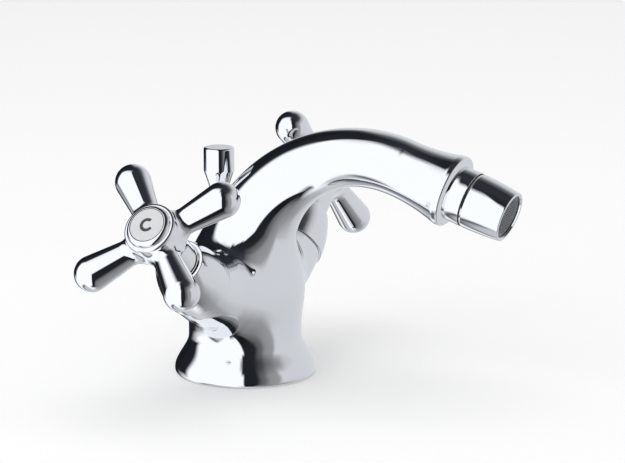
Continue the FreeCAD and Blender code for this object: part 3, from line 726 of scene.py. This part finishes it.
def buildHandle():
    h = handle
    flare = [(float(hubRadius(z)), z, 0) for z in np.linspace(h["flareFoot"], h["hubFoot"], 12)]
    drum = [(h["hub"], z, 0) for z in np.linspace(h["hubFoot"], h["top"] - h["topRound"] - 0.1, 17)[1:]]
    corners = [(h["bore"], h["foot"], 0.3), (h["neck"], h["foot"], 0.4)]
    corners += [(h["neck"], z, 0) for z in np.linspace(h["foot"] + 1, h["flareFoot"], 8)[:-1]]
    corners += flare + drum + [(h["hub"], h["top"], h["topRound"]), (h["recess"], h["top"], 0.25)]
    corners += plainCorners([
        (h["recess"], h["recessFloor"]),
        (h["screwHead"], h["recessFloor"]),
        (h["screwHead"], h["screwFloor"]),
        (h["screwHole"], h["screwFloor"]),
        (h["screwHole"], h["socketTop"]),
        (h["socket"], h["socketTop"]),
        (h["socket"], h["boreTop"]),
        (h["bore"], h["boreTop"]),
    ])
    piece = turnPiece("leftHandle", softCorners(corners), h["count"], tube=True)
    rings = [(h["armRootRadius"] + math.tan(armSlope) * (z - h["armRoot"]), z)
             for z in np.linspace(h["armStart"], bulbStart, 14)]
    for angle in np.linspace(-armSlope, math.radians(87), 20)[1:]:
        rings.append((h["bulb"] * math.cos(angle), h["bulbAt"] + h["bulb"] * math.sin(angle)))
    for index in range(h["arms"]):
        growBranch(piece, armPlace(index), h["armHole"], (h["recess"] + 0.5, h["hub"] + 0.5), rings[0], 12)
        followRings(rings, armPlace(index))
        closeMesh()
    points = readPoints(piece.data.vertices, "co")
    chosen = np.zeros(len(points), bool)
    for index in range(h["arms"]):
        local = localPoints(points, armPlace(index))
        near = fromAxis(local) < h["armHole"] + 1.5 * h["blend"]
        chosen |= near & (local[:, 2] > 0) & (local[:, 2] < h["armStart"] - 0.01)
    chosen &= fromAxis(points) > h["neck"] - 0.05
    chosen &= (points[:, 2] < h["top"] - h["topRound"] - 0.2) & (points[:, 2] > h["flareFoot"])
    chosen &= (fromAxis(points) > h["recess"] + 0.2) | (points[:, 2] < h["screwFloor"])
    relax(piece, handleField, chosen, 8)
    # the arms are made finer
    centres = readPoints(piece.data.polygons, "center")
    pick(piece, "FACE", fromAxis(centres) > h["hub"] + 0.8)
    bpy.ops.mesh.subdivide(number_cuts=1)
    bpy.ops.object.mode_set(mode="OBJECT")
    points = readPoints(piece.data.vertices, "co")
    settle(piece, handleField, fromAxis(points) > h["hub"] + 0.4)
    return piece


leftHandle = buildHandle()
rightHandle = copyPiece(leftHandle, "rightHandle")
for piece, side in ((leftHandle, "left"), (rightHandle, "right")):
    clocked = handlePlace(side) @ Matrix.Rotation(math.radians(handle["clock"][side]), 4, "Z")
    finishPiece(piece, side + "_handle", handleChrome, [side + "_cross_handle"], clocked)
    polish(piece, lambda points: handleField(localPoints(points, clocked)))
print("handles drawn:", len(leftHandle.data.polygons), "faces each")


# index caps: a domed bezel round a flat disc, with an inlaid letter

cap = {
    "radius": 9.2,
    "foot": 5.5,
    "shoulder": 8.5,
    "top": 10.5,
    "bezel": 7.5,
    "groove": 0.28,
    "grooveDepth": 0.4,
    "discDrop": 0.08,
}
letter = {
    "height": 6.0,
    "stroke": 1.3,
    "opening": 84.0,
    "thickness": 0.3,
    "proud": 0.04,
    "typeScale": 1.36,
    "embolden": 0.12,
    "turn": {"left": 18.0, "right": -18.0},
}


def buildCap():
    c = cap
    disc = c["bezel"] - c["groove"]
    level = c["top"] - c["discDrop"]
    dome = levelArc((c["radius"], c["shoulder"]), (c["bezel"], c["top"]), 14)
    corners = [(0.4, c["foot"], 0), (c["radius"], c["foot"], 0.2)]
    corners += plainCorners(dome[:-1])
    corners += [(c["bezel"], c["top"], 0.1), (c["bezel"], c["top"] - c["grooveDepth"], 0)]
    corners += [(disc, c["top"] - c["grooveDepth"], 0), (disc, level, 0.1)]
    corners += [(disc - 0.4, level, 0), (0.4, level, 0)]
    piece = turnPiece("leftCap", softCorners(corners), 128)
    setFinishes(piece, handleChrome, discFinish, grooveShade)
    centres = readPoints(piece.data.polygons, "center")
    away = fromAxis(centres)
    above = centres[:, 2] > c["shoulder"]
    coatFaces(piece, 1, (away < disc) & above)
    # painted shade: the groove between bezel and disc takes the near-black finish for its shadow
    coatFaces(piece, 2, (away > disc - 0.005) & (away < c["bezel"]) & above)
    return piece


def buildHotLetter():  # a C, spun from one short edge
    half = letter["height"] / 2
    deselectAll()
    bpy.ops.mesh.primitive_plane_add(size=1 * mm)
    piece = bpy.context.object
    piece.name = "leftLetter"
    editMode(piece)
    bpy.ops.mesh.select_all(action="SELECT")
    bpy.ops.mesh.merge(type="CENTER")
    bpy.ops.transform.translate(value=((half - letter["stroke"]) * mm, 0, 0))
    bpy.ops.mesh.extrude_region_move(TRANSFORM_OT_translate={"value": (letter["stroke"] * mm, 0, 0)})
    bpy.ops.mesh.select_all(action="SELECT")
    start = math.radians(letter["opening"] / 2)
    bpy.ops.transform.rotate(value=-start, orient_axis="Z", center_override=(0, 0, 0))
    bpy.ops.mesh.spin(steps=60, angle=-(2 * math.pi - 2 * start), center=(0, 0, 0), axis=(0, 0, 1))
    bpy.ops.mesh.select_all(action="SELECT")
    bpy.ops.mesh.remove_doubles(threshold=0.002 * mm)
    bpy.ops.mesh.extrude_region_move(TRANSFORM_OT_translate={"value": (0, 0, letter["thickness"] * mm)})
    bpy.ops.mesh.select_all(action="SELECT")
    bpy.ops.mesh.normals_make_consistent(inside=False)
    bpy.ops.object.mode_set(mode="OBJECT")
    return piece


def buildColdLetter():  # an F, typed and thickened
    deselectAll()
    bpy.ops.object.text_add()
    text = bpy.context.object
    text.data.body = "F"
    text.data.align_x = "CENTER"
    text.data.align_y = "CENTER"
    text.data.size = letter["height"] * letter["typeScale"] * mm
    text.data.offset = letter["stroke"] * letter["embolden"] * mm
    text.data.extrude = letter["thickness"] / 2 * mm
    bpy.ops.object.convert(target="MESH")
    piece = bpy.context.object
    piece.name = "rightLetter"
    editMode(piece)
    bpy.ops.mesh.select_all(action="SELECT")
    bpy.ops.mesh.remove_doubles(threshold=0.002 * mm)
    bpy.ops.transform.translate(value=(0, 0, letter["thickness"] / 2 * mm))
    bpy.ops.mesh.normals_make_consistent(inside=False)
    bpy.ops.object.mode_set(mode="OBJECT")
    return piece


leftCap = buildCap()
rightCap = copyPiece(leftCap, "rightCap")
for piece, side in ((leftCap, "left"), (rightCap, "right")):
    finishPiece(piece, side + "_handle", None, [side + "_index_cap"], handlePlace(side))
level = cap["top"] - cap["discDrop"] + letter["proud"] - letter["thickness"]
for piece, side in ((buildHotLetter(), "left"), (buildColdLetter(), "right")):
    upright = math.radians(letter["turn"][side] + 90 * sides[side])  # the letter's own up is its y
    place = handlePlace(side) @ Matrix.Rotation(upright, 4, "Z") @ Matrix.Translation((0, 0, level * mm))
    finishPiece(piece, side + "_handle", enamel, [], place)
print("caps and letters set")


# the knob of the waste rod

knob = {
    "bore": 3.05,
    "boreTop": 84.54,
    "foot": 77.49,
    "neck": 3.8,
    "waist": 4.6,
    "waistAt": 80.49,
    "radius": 6.5,
    "gripFoot": 85.99,
    "top": 95.99,
    "topRound": 0.9,
}


def buildKnob():
    k = knob
    corners = [(0.3, k["boreTop"], 0), (k["bore"], k["boreTop"], 0), (k["bore"], k["foot"], 0.15)]
    corners += [(k["neck"], k["foot"], 0.3), (k["waist"], k["waistAt"], 3.0)]
    corners += [(k["radius"], k["gripFoot"], 3.5), (k["radius"], k["top"], k["topRound"])]
    corners += [(k["radius"] - 2, k["top"], 0), (0.3, k["top"], 0)]
    return turnPiece("knob", softCorners(corners, 8), 112)


finishPiece(buildKnob(), "waste_rod", chrome, ["lift_knob"], rodPlace)
print("knob turned")


# the outlet: collar, nozzle, dark insert and woven screen, measured from the ball's centre

outlet = {
    "stub": 11.0,
    "bore": 9.0,
    "stubFoot": -10.5,
    "spoutEnd": -3.0,
    "collar": 11.65,
    "knuckle": 12.5,
    "knuckleGap": 0.25,
    "collarEnd": 8.4,
    "shadedGrooveDepth": 0.6,
    "shadedGrooveWidth": 0.65,
    "mouth": 9.1,
    "seat": 8.1,
    "seatTop": 4.0,
    "seatMouth": 7.1,
    "nozzle": 11.6,
    "straight": 6.0,
    "tip": 10.5,
    "tipRound": 0.45,
    "reach": 22.5,
    "nozzleBore": 9.4,
    "webFront": 14.5,
    "stem": 4.65,
    "insert": 9.3,
    "insertFoot": 14.6,
    "insertFront": 21.9,
    "insertWall": 0.8,
    "insertFloor": 16.6,
    "jetRadius": 0.9,
    "jetCircle": 5.0,
    "jets": 8,
    "screenFloor": 20.9,
    "screenLift": 0.25,
    "pitch": 1.3,
    "wire": 0.2,
    "waviness": 0.55,
    "weaveSteps": 6,
    "rimWidth": 0.7,
    "rimFoot": -0.22,
    "rimTop": 0.26,
}


def ballArc(radius, low, high, steps):  # rings of a ball between two heights
    heights = [low + (high - low) * step / steps for step in range(steps + 1)]
    return [(math.sqrt(radius**2 - height**2), height, 0) for height in heights]


def buildCollar():
    o = outlet
    shoulder = math.sqrt(o["knuckle"] ** 2 - o["collar"] ** 2)
    corners = [(o["bore"], o["stubFoot"], 0), (o["stub"], o["stubFoot"], 0.3), (o["stub"], o["spoutEnd"], 0)]
    corners += [(o["collar"], o["spoutEnd"], 0.25), (o["collar"], shoulder, 0.12)]
    grooveFloor = o["collar"] - o["shadedGrooveDepth"]
    corners += [(grooveFloor, shoulder + 0.05, 0), (grooveFloor, shoulder + o["shadedGrooveWidth"], 0)]
    corners += ballArc(o["knuckle"], shoulder + o["shadedGrooveWidth"] + 0.05, o["collarEnd"], 12)
    corners += [(o["mouth"], o["collarEnd"], 0), (o["seatMouth"], o["seatTop"], 0)]
    corners += ballArc(o["seat"], o["seatTop"] - 0.1, 0.1, 8) + [(o["bore"], 0, 0)]
    piece = turnPiece("collar", softCorners(corners), 128, tube=True)
    # painted shade: the groove at the joint takes the black rubber finish as a seal line, which stands in
    # for its shadow
    setFinishes(piece, chrome, rubber)
    centres = readPoints(piece.data.polygons, "center")
    away = fromAxis(centres)
    rise = centres[:, 2] - shoulder
    shadedGroove = (away > o["stub"] - 1) & (away < o["collar"] - 0.2)
    shadedGroove &= (rise > 0) & (rise < o["shadedGrooveWidth"] + 0.15)
    coatFaces(piece, 1, shadedGroove)
    return piece


def buildNozzle():
    o = outlet
    hollow = o["knuckle"] + o["knuckleGap"]
    edge = math.sqrt(hollow**2 - o["nozzle"] ** 2)
    body = levelArc((o["nozzle"], o["straight"]), (o["tip"], o["reach"]), 20)
    corners = [(o["nozzle"], edge, 0.15)] + plainCorners(body[:-1])
    corners += [(o["tip"], o["reach"], o["tipRound"]), (o["nozzleBore"], o["reach"], 0.2)]
    corners += [(o["nozzleBore"], o["webFront"], 0), (o["stem"], o["webFront"], 0)]
    corners += ballArc(hollow, math.sqrt(hollow**2 - o["stem"] ** 2), edge + 0.4, 14)
    return turnPiece("nozzle", softCorners(corners), 128, tube=True)


def buildInsert():
    o = outlet
    inner = o["insert"] - o["insertWall"]
    ledge = inner - o["insertWall"]
    corners = [(0.4, o["insertFoot"], 0), (o["insert"], o["insertFoot"], 0.2)]
    corners += [(o["insert"], o["insertFront"], 0.2), (inner, o["insertFront"], 0.2)]
    corners += [(inner, o["screenFloor"], 0), (ledge, o["screenFloor"], 0.1)]
    corners += [(ledge, o["insertFloor"], 0), (0.4, o["insertFloor"], 0)]
    piece = turnPiece("insert", softCorners(corners), 128)
    jetEnds = [(o["jetRadius"], o["insertFoot"] - 1), (o["jetRadius"], o["insertFloor"] + 1)]
    for index in range(o["jets"]):
        jet = turnPiece("jet", jetEnds, 24)
        turn = 2 * math.pi * index / o["jets"]
        jet.location = (o["jetCircle"] * math.cos(turn) * mm, o["jetCircle"] * math.sin(turn) * mm, 0)
        cutAway(piece, jet)
    return piece


def buildWire(name, count, pitch):  # one wavy wire along x
    o = outlet
    reach = (count + 1) * pitch / 2
    deselectAll()
    bpy.ops.mesh.primitive_circle_add(vertices=8, radius=o["wire"] * mm, rotation=(0, math.pi / 2, 0))
    piece = bpy.context.object
    piece.name = name
    bpy.ops.object.transform_apply(location=True, rotation=True, scale=True)
    editMode(piece)
    bpy.ops.mesh.select_all(action="SELECT")
    bpy.ops.transform.translate(value=(-reach * mm, 0, 0))
    steps = o["weaveSteps"] * (count + 1)
    swing = o["waviness"] * o["wire"]
    heave = [swing * math.sin(math.pi * step / o["weaveSteps"]) for step in range(steps + 1)]
    for low, high in zip(heave, heave[1:]):
        shift = (2 * reach / steps * mm, 0, (high - low) * mm)
        bpy.ops.mesh.extrude_region_move(TRANSFORM_OT_translate={"value": shift})
    closeMesh()
    return piece


def buildScreen():
    o = outlet
    radius = o["insert"] - o["insertWall"] - 0.1
    count = 2 * int(radius / o["pitch"]) + 1
    first = buildWire("screen", count, o["pitch"])
    wires = [first]
    for row in range(count):
        for turn in (0, math.pi / 2):
            shift = Vector((0, (row - count // 2) * o["pitch"] * mm, 0))
            flip = Matrix.Scale(-1, 4, (0, 0, 1)) if (row + (turn > 0)) % 2 else Matrix()
            twin = copyPiece(first, "wire")
            twin.matrix_world = Matrix.Rotation(turn, 4, "Z") @ Matrix.Translation(shift) @ flip
            wires.append(twin)
    inner = radius - o["rimWidth"]
    corners = [(inner, o["rimFoot"], 0.15), (radius, o["rimFoot"], 0.1)]
    corners += [(radius, o["rimTop"], 0.15), (inner, o["rimTop"], 0.2)]
    rim = turnPiece("rim", softCorners(corners, 3), 96, tube=True)
    deselectAll()
    for piece in wires[1:] + [rim]:
        piece.select_set(True)
    bpy.data.objects.remove(first)
    bpy.context.view_layer.objects.active = rim
    bpy.ops.object.transform_apply(location=True, rotation=True, scale=True)
    bpy.ops.object.join()
    screen = bpy.context.object
    screen.name = "screen"
    points = readPoints(screen.data.vertices, "co")
    pick(screen, "VERT", fromAxis(points) > radius + 0.01)
    bpy.ops.mesh.delete(type="VERT")
    closeMesh()
    return screen


finishPiece(buildCollar(), "root", None, ["swivel_collar"], outletPlace)
finishPiece(buildNozzle(), "outlet", chrome, ["nozzle_shell"], outletPlace)
finishPiece(buildInsert(), "outlet", blackPlastic, ["aerator_insert"], outletPlace)
lift = Matrix.Translation((0, 0, (outlet["screenFloor"] + outlet["screenLift"]) * mm))
finishPiece(buildScreen(), "outlet", screenWire, ["mesh_screen"], outletPlace @ lift, 60)
print("outlet turned and screen woven")


# the pieces that stay as CAD nodes get their finishes

kept = {"lift_rod": rodSteel, "rod_guide": blackPlastic, "base_seal": rubber, "swivel_ball": brass,
        "aerator_washer": rubber, "ball_seal": rubber, "ball_seat_ring": blackPlastic}
for side in sides:
    for name, finish in (("valve_bonnet", brass), ("bonnet_washer", rubber), ("seat_seal", rubber),
                         ("fixed_disc", ceramic), ("moving_disc", ceramic), ("spindle", brass),
                         ("spindle_seal", rubber), ("spindle_clip", steel), ("handle_screw", steel)):
        kept[side + "_" + name] = finish
for name, finish in kept.items():
    setFinishes(nodes[name], finish)
# the chrome mirrors the studio, and these pieces stay out of it
shy = [nodes[name] for name in kept if name != "lift_rod"]
shy += [bpy.data.objects[side + name] for side in sides for name in ("Handle", "Cap", "Letter")]
shy += [bpy.data.objects[name] for name in ("collar", "nozzle", "insert", "screen")]
for piece in shy:
    piece.visible_glossy = False
print("finishes on", len(kept), "kept nodes")


# camera at the photograph's angle

shot = {
    "azimuth": -63.1,
    "elevation": 12.4,
    "distance": 1.225,
    "aimHeight": 0.05,
    "aimRight": 0.0286,
    "aimUp": 0.0104,
    "focalPixels": 2894.76,
    "imageWidth": 625,
    "sensor": 36.0,
    "clipEnd": 20.0,
}


def addCamera():
    turn, tilt = math.radians(shot["azimuth"]), math.radians(shot["elevation"])
    right = Vector((math.cos(turn), math.sin(turn), 0))
    back = Vector((math.sin(turn) * math.cos(tilt), -math.cos(turn) * math.cos(tilt), math.sin(tilt)))
    up = back.cross(right)
    aim = Vector((0, 0, shot["aimHeight"])) + right * shot["aimRight"] + up * shot["aimUp"]
    deselectAll()
    bpy.ops.object.camera_add()
    camera = bpy.context.object
    stand = Matrix.Translation(aim + back * shot["distance"])
    camera.matrix_world = stand @ Matrix((right, up, back)).transposed().to_4x4()
    camera.data.sensor_fit = "HORIZONTAL"
    camera.data.sensor_width = shot["sensor"]
    camera.data.lens = shot["focalPixels"] * shot["sensor"] / shot["imageWidth"]
    camera.data.clip_end = shot["clipEnd"]
    bpy.context.scene.camera = camera


addCamera()
bpy.context.scene.view_settings.view_transform = "Standard"


# stage: pale floor, soft lamps, and the panels of a studio tent that the chrome mirrors

tent = {
    "radius": 2.0,
    "middle": (0.0, -0.03, 0.05),
    "tint": (0.94, 0.96, 1.0),
    "darkTint": (0.70, 0.80, 1.0),
    "darkBelow": 0.1,
    "fullScale": 3.0,
    "strength": 2.2,
    "levels": [(-90, "pole"), (-75, "nadir"), (-60, "floor"), (-53, "seam"), (-46, "skirt"), (-24, "low"),
               (-8, "wall"), (26, "wall"), (38, "upper"), (53, "high"), (68, "crown"), (82, "top"),
               (90, "top")],
}
white = 1.7  # the soft panel at the viewer's left
glows = {  # brightness by degrees to the viewer's right of the camera
    "pole": [(-180, white), (180, white)],
    "nadir": [(-180, 1.0), (-75, 0.9), (-55, white), (-32, white), (-18, 0.03), (30, 0.03), (60, 0.3),
              (100, 0.5), (180, 1.0)],
    "floor": [(-180, 1.0), (-150, 0.9), (-75, 0.9), (-55, white), (-4, white), (-1, 0.03), (15, 0.03),
              (24, 0.2), (40, 0.36), (100, 0.5), (150, 0.7), (180, 1.0)],
    "seam": [(-180, 0.9), (-150, 0.3), (-130, 0.12), (-80, 0.12), (-60, white), (-4, white), (-1, 0.02),
             (15, 0.02), (24, 0.22), (40, 0.36), (60, 0.45), (100, 0.55), (150, 0.7), (180, 0.9)],
    "skirt": [(-180, 1.0), (-165, 1.5), (-155, white), (-4, white), (-1, 0.02), (15, 0.02), (24, 0.25),
              (40, 0.36), (60, 0.5), (90, 0.65), (130, 0.9), (180, 1.0)],
    "low": [(-180, 1.0), (-176, 0.05), (-145, 0.03), (-130, 1.0), (-120, white), (-4, white), (-1, 0.03),
            (18, 0.035), (30, 0.2), (44, 0.46), (56, 0.52), (68, 1.0), (180, 1.05)],
    "wall": [(-180, 1.05), (-175, 0.9), (-168, 0.05), (-155, 0.02), (-115, 0.03), (-101, white), (-4, white),
             (-1, 0.03), (18, 0.035), (30, 0.2), (44, 0.46), (56, 0.52), (66, 1.05), (180, 1.08)],
    "upper": [(-180, 0.6), (-172, 0.1), (-160, 0.02), (-120, 0.03), (-102, white), (-9, white), (-5, 0.03),
              (17, 0.035), (32, 0.16), (48, 0.36), (70, 0.5), (90, 0.8), (130, 0.85), (180, 0.75)],
    "high": [(-180, 0.15), (-165, 0.03), (-112, 0.04), (-97, 1.8), (-85, white), (-14, white), (-9, 0.03),
             (20, 0.035), (60, 0.09), (100, 0.12), (130, 0.25), (180, 0.2)],
    "crown": [(-180, 0.035), (-110, 0.03), (-88, 1.2), (-60, white), (-35, white), (-25, 0.04), (60, 0.06),
              (180, 0.05)],
    "top": [(-180, 0.05), (-100, 0.06), (-60, 0.22), (-40, 0.18), (-20, 0.06), (180, 0.06)],
}


def addGlow(tree, source, stops):
    ramp = tree.nodes.new("ShaderNodeValToRGB")
    ramp.color_ramp.interpolation = "EASE"
    elements = ramp.color_ramp.elements
    for _ in stops[2:]:
        elements.new(0.5)
    for element, (angle, level) in zip(elements, stops):
        tint = tent["tint"] if level > tent["darkBelow"] else tent["darkTint"]
        element.position = (angle + 180) / 360
        element.color = (*(level / tent["fullScale"] * part for part in tint), 1)
    tree.links.new(source, ramp.inputs["Fac"])
    return ramp.outputs["Color"]


def addBand(name, low, high):  # part of the tent between two rises, from one glow to the next
    deselectAll()
    bpy.ops.mesh.primitive_grid_add(x_subdivisions=120, y_subdivisions=16, size=1)
    band = bpy.context.object
    band.name = name
    points = readPoints(band.data.vertices, "co") * mm + 0.5
    turn = np.radians(360 * points[:, 0] - 180)
    rise = np.radians(low[0] + (high[0] - low[0]) * points[:, 1])
    facing = math.radians(shot["azimuth"]) - math.pi / 2 + turn
    ball = np.stack([np.cos(facing) * np.cos(rise), np.sin(facing) * np.cos(rise), np.sin(rise)], 1)
    writePoints(band, (np.array(tent["middle"]) + tent["radius"] * ball) / mm)
    material = bpy.data.materials.new(name)
    material.use_nodes = True
    tree = material.node_tree
    tree.nodes.clear()
    coords = tree.nodes.new("ShaderNodeTexCoord")
    split = tree.nodes.new("ShaderNodeSeparateXYZ")
    mix = tree.nodes.new("ShaderNodeMix")
    mix.data_type = "RGBA"
    glow = tree.nodes.new("ShaderNodeEmission")
    glow.inputs["Strength"].default_value = tent["strength"]
    output = tree.nodes.new("ShaderNodeOutputMaterial")
    tree.links.new(coords.outputs["UV"], split.inputs["Vector"])
    tree.links.new(split.outputs["Y"], mix.inputs["Factor"])
    tree.links.new(addGlow(tree, split.outputs["X"], glows[low[1]]), mix.inputs["A"])
    tree.links.new(addGlow(tree, split.outputs["X"], glows[high[1]]), mix.inputs["B"])
    tree.links.new(mix.outputs["Result"], glow.inputs["Color"])
    tree.links.new(glow.outputs["Emission"], output.inputs["Surface"])
    setFinishes(band, material)
    band.visible_camera = band.visible_diffuse = band.visible_shadow = False
    band.visible_transmission = band.visible_volume_scatter = False


backdrop = {
    "fill": 0.6,
    "floorSize": 14.0,
    "floorDrop": 0.0002,
    "floorGlow": 0.16,
    "dark": (0.93, 0.93, 0.93),
    "light": (0.94, 0.94, 0.94),
}


def addWorld():
    world = bpy.data.worlds.new("tent")
    bpy.context.scene.world = world
    world.use_nodes = True
    tree = world.node_tree
    tree.nodes.clear()
    path = tree.nodes.new("ShaderNodeLightPath")
    seen = tree.nodes.new("ShaderNodeMath")
    seen.operation = "MAXIMUM"
    mirrored = tree.nodes.new("ShaderNodeMath")
    mirrored.operation = "MAXIMUM"
    tree.links.new(path.outputs["Is Camera Ray"], seen.inputs[0])
    tree.links.new(path.outputs["Is Glossy Ray"], seen.inputs[1])
    tree.links.new(seen.outputs["Value"], mirrored.inputs[0])
    tree.links.new(path.outputs["Is Transmission Ray"], mirrored.inputs[1])
    fill = tree.nodes.new("ShaderNodeBackground")
    fill.inputs["Color"].default_value = (1, 1, 1, 1)
    fill.inputs["Strength"].default_value = backdrop["fill"]
    paper = tree.nodes.new("ShaderNodeBackground")
    paper.inputs["Color"].default_value = (1, 1, 1, 1)
    paper.inputs["Strength"].default_value = 1.0
    mix = tree.nodes.new("ShaderNodeMixShader")
    output = tree.nodes.new("ShaderNodeOutputWorld")
    tree.links.new(mirrored.outputs["Value"], mix.inputs["Fac"])
    tree.links.new(fill.outputs["Background"], mix.inputs[1])
    tree.links.new(paper.outputs["Background"], mix.inputs[2])
    tree.links.new(mix.outputs["Shader"], output.inputs["Surface"])


def addFloor():
    deselectAll()
    bpy.ops.mesh.primitive_plane_add(size=backdrop["floorSize"], location=(0, 0, -backdrop["floorDrop"]))
    floor = bpy.context.object
    floor.name = "floor"
    material, tree, shader = newFinish("floor")
    noise = addNoise(tree, 3)
    tint = addTint(tree, noise.outputs["Fac"], backdrop["dark"], backdrop["light"])
    tree.links.new(tint, shader.inputs["Base Color"])
    shader.inputs["Roughness"].default_value = 0.9
    shader.inputs["Specular IOR Level"].default_value = 0.0
    path = tree.nodes.new("ShaderNodeLightPath")
    paper = tree.nodes.new("ShaderNodeMath")
    paper.operation = "MULTIPLY"
    paper.inputs[1].default_value = backdrop["floorGlow"]
    tree.links.new(path.outputs["Is Camera Ray"], paper.inputs[0])
    tree.links.new(paper.outputs["Value"], shader.inputs["Emission Strength"])
    shader.inputs["Emission Color"].default_value = (1, 1, 1, 1)
    setFinishes(floor, material)
    floor.visible_glossy = False


lamps = {
    "overhead": {"place": (0.1, -0.2, 2.2), "size": 2.4, "watts": 13},
    "side": {"place": (-1.4, 0.5, 1.0), "size": 1.6, "watts": 6},
}


def addLamp(name, place, size, watts):
    deselectAll()
    bpy.ops.object.light_add(type="AREA", location=place)
    lamp = bpy.context.object
    lamp.name = name
    lamp.data.shape = "DISK"
    lamp.data.size = size
    lamp.data.energy = watts
    toward = Vector(tent["middle"]) - Vector(place)
    lamp.rotation_euler = toward.to_track_quat("-Z", "Y").to_euler()
    lamp.visible_camera = lamp.visible_glossy = False


for index, (low, high) in enumerate(zip(tent["levels"], tent["levels"][1:])):
    addBand(f"band{index}", low, high)
addWorld()
addFloor()
for name, lamp in lamps.items():
    addLamp(name, **lamp)
print("stage set:", len(tent["levels"]) - 1, "bands")
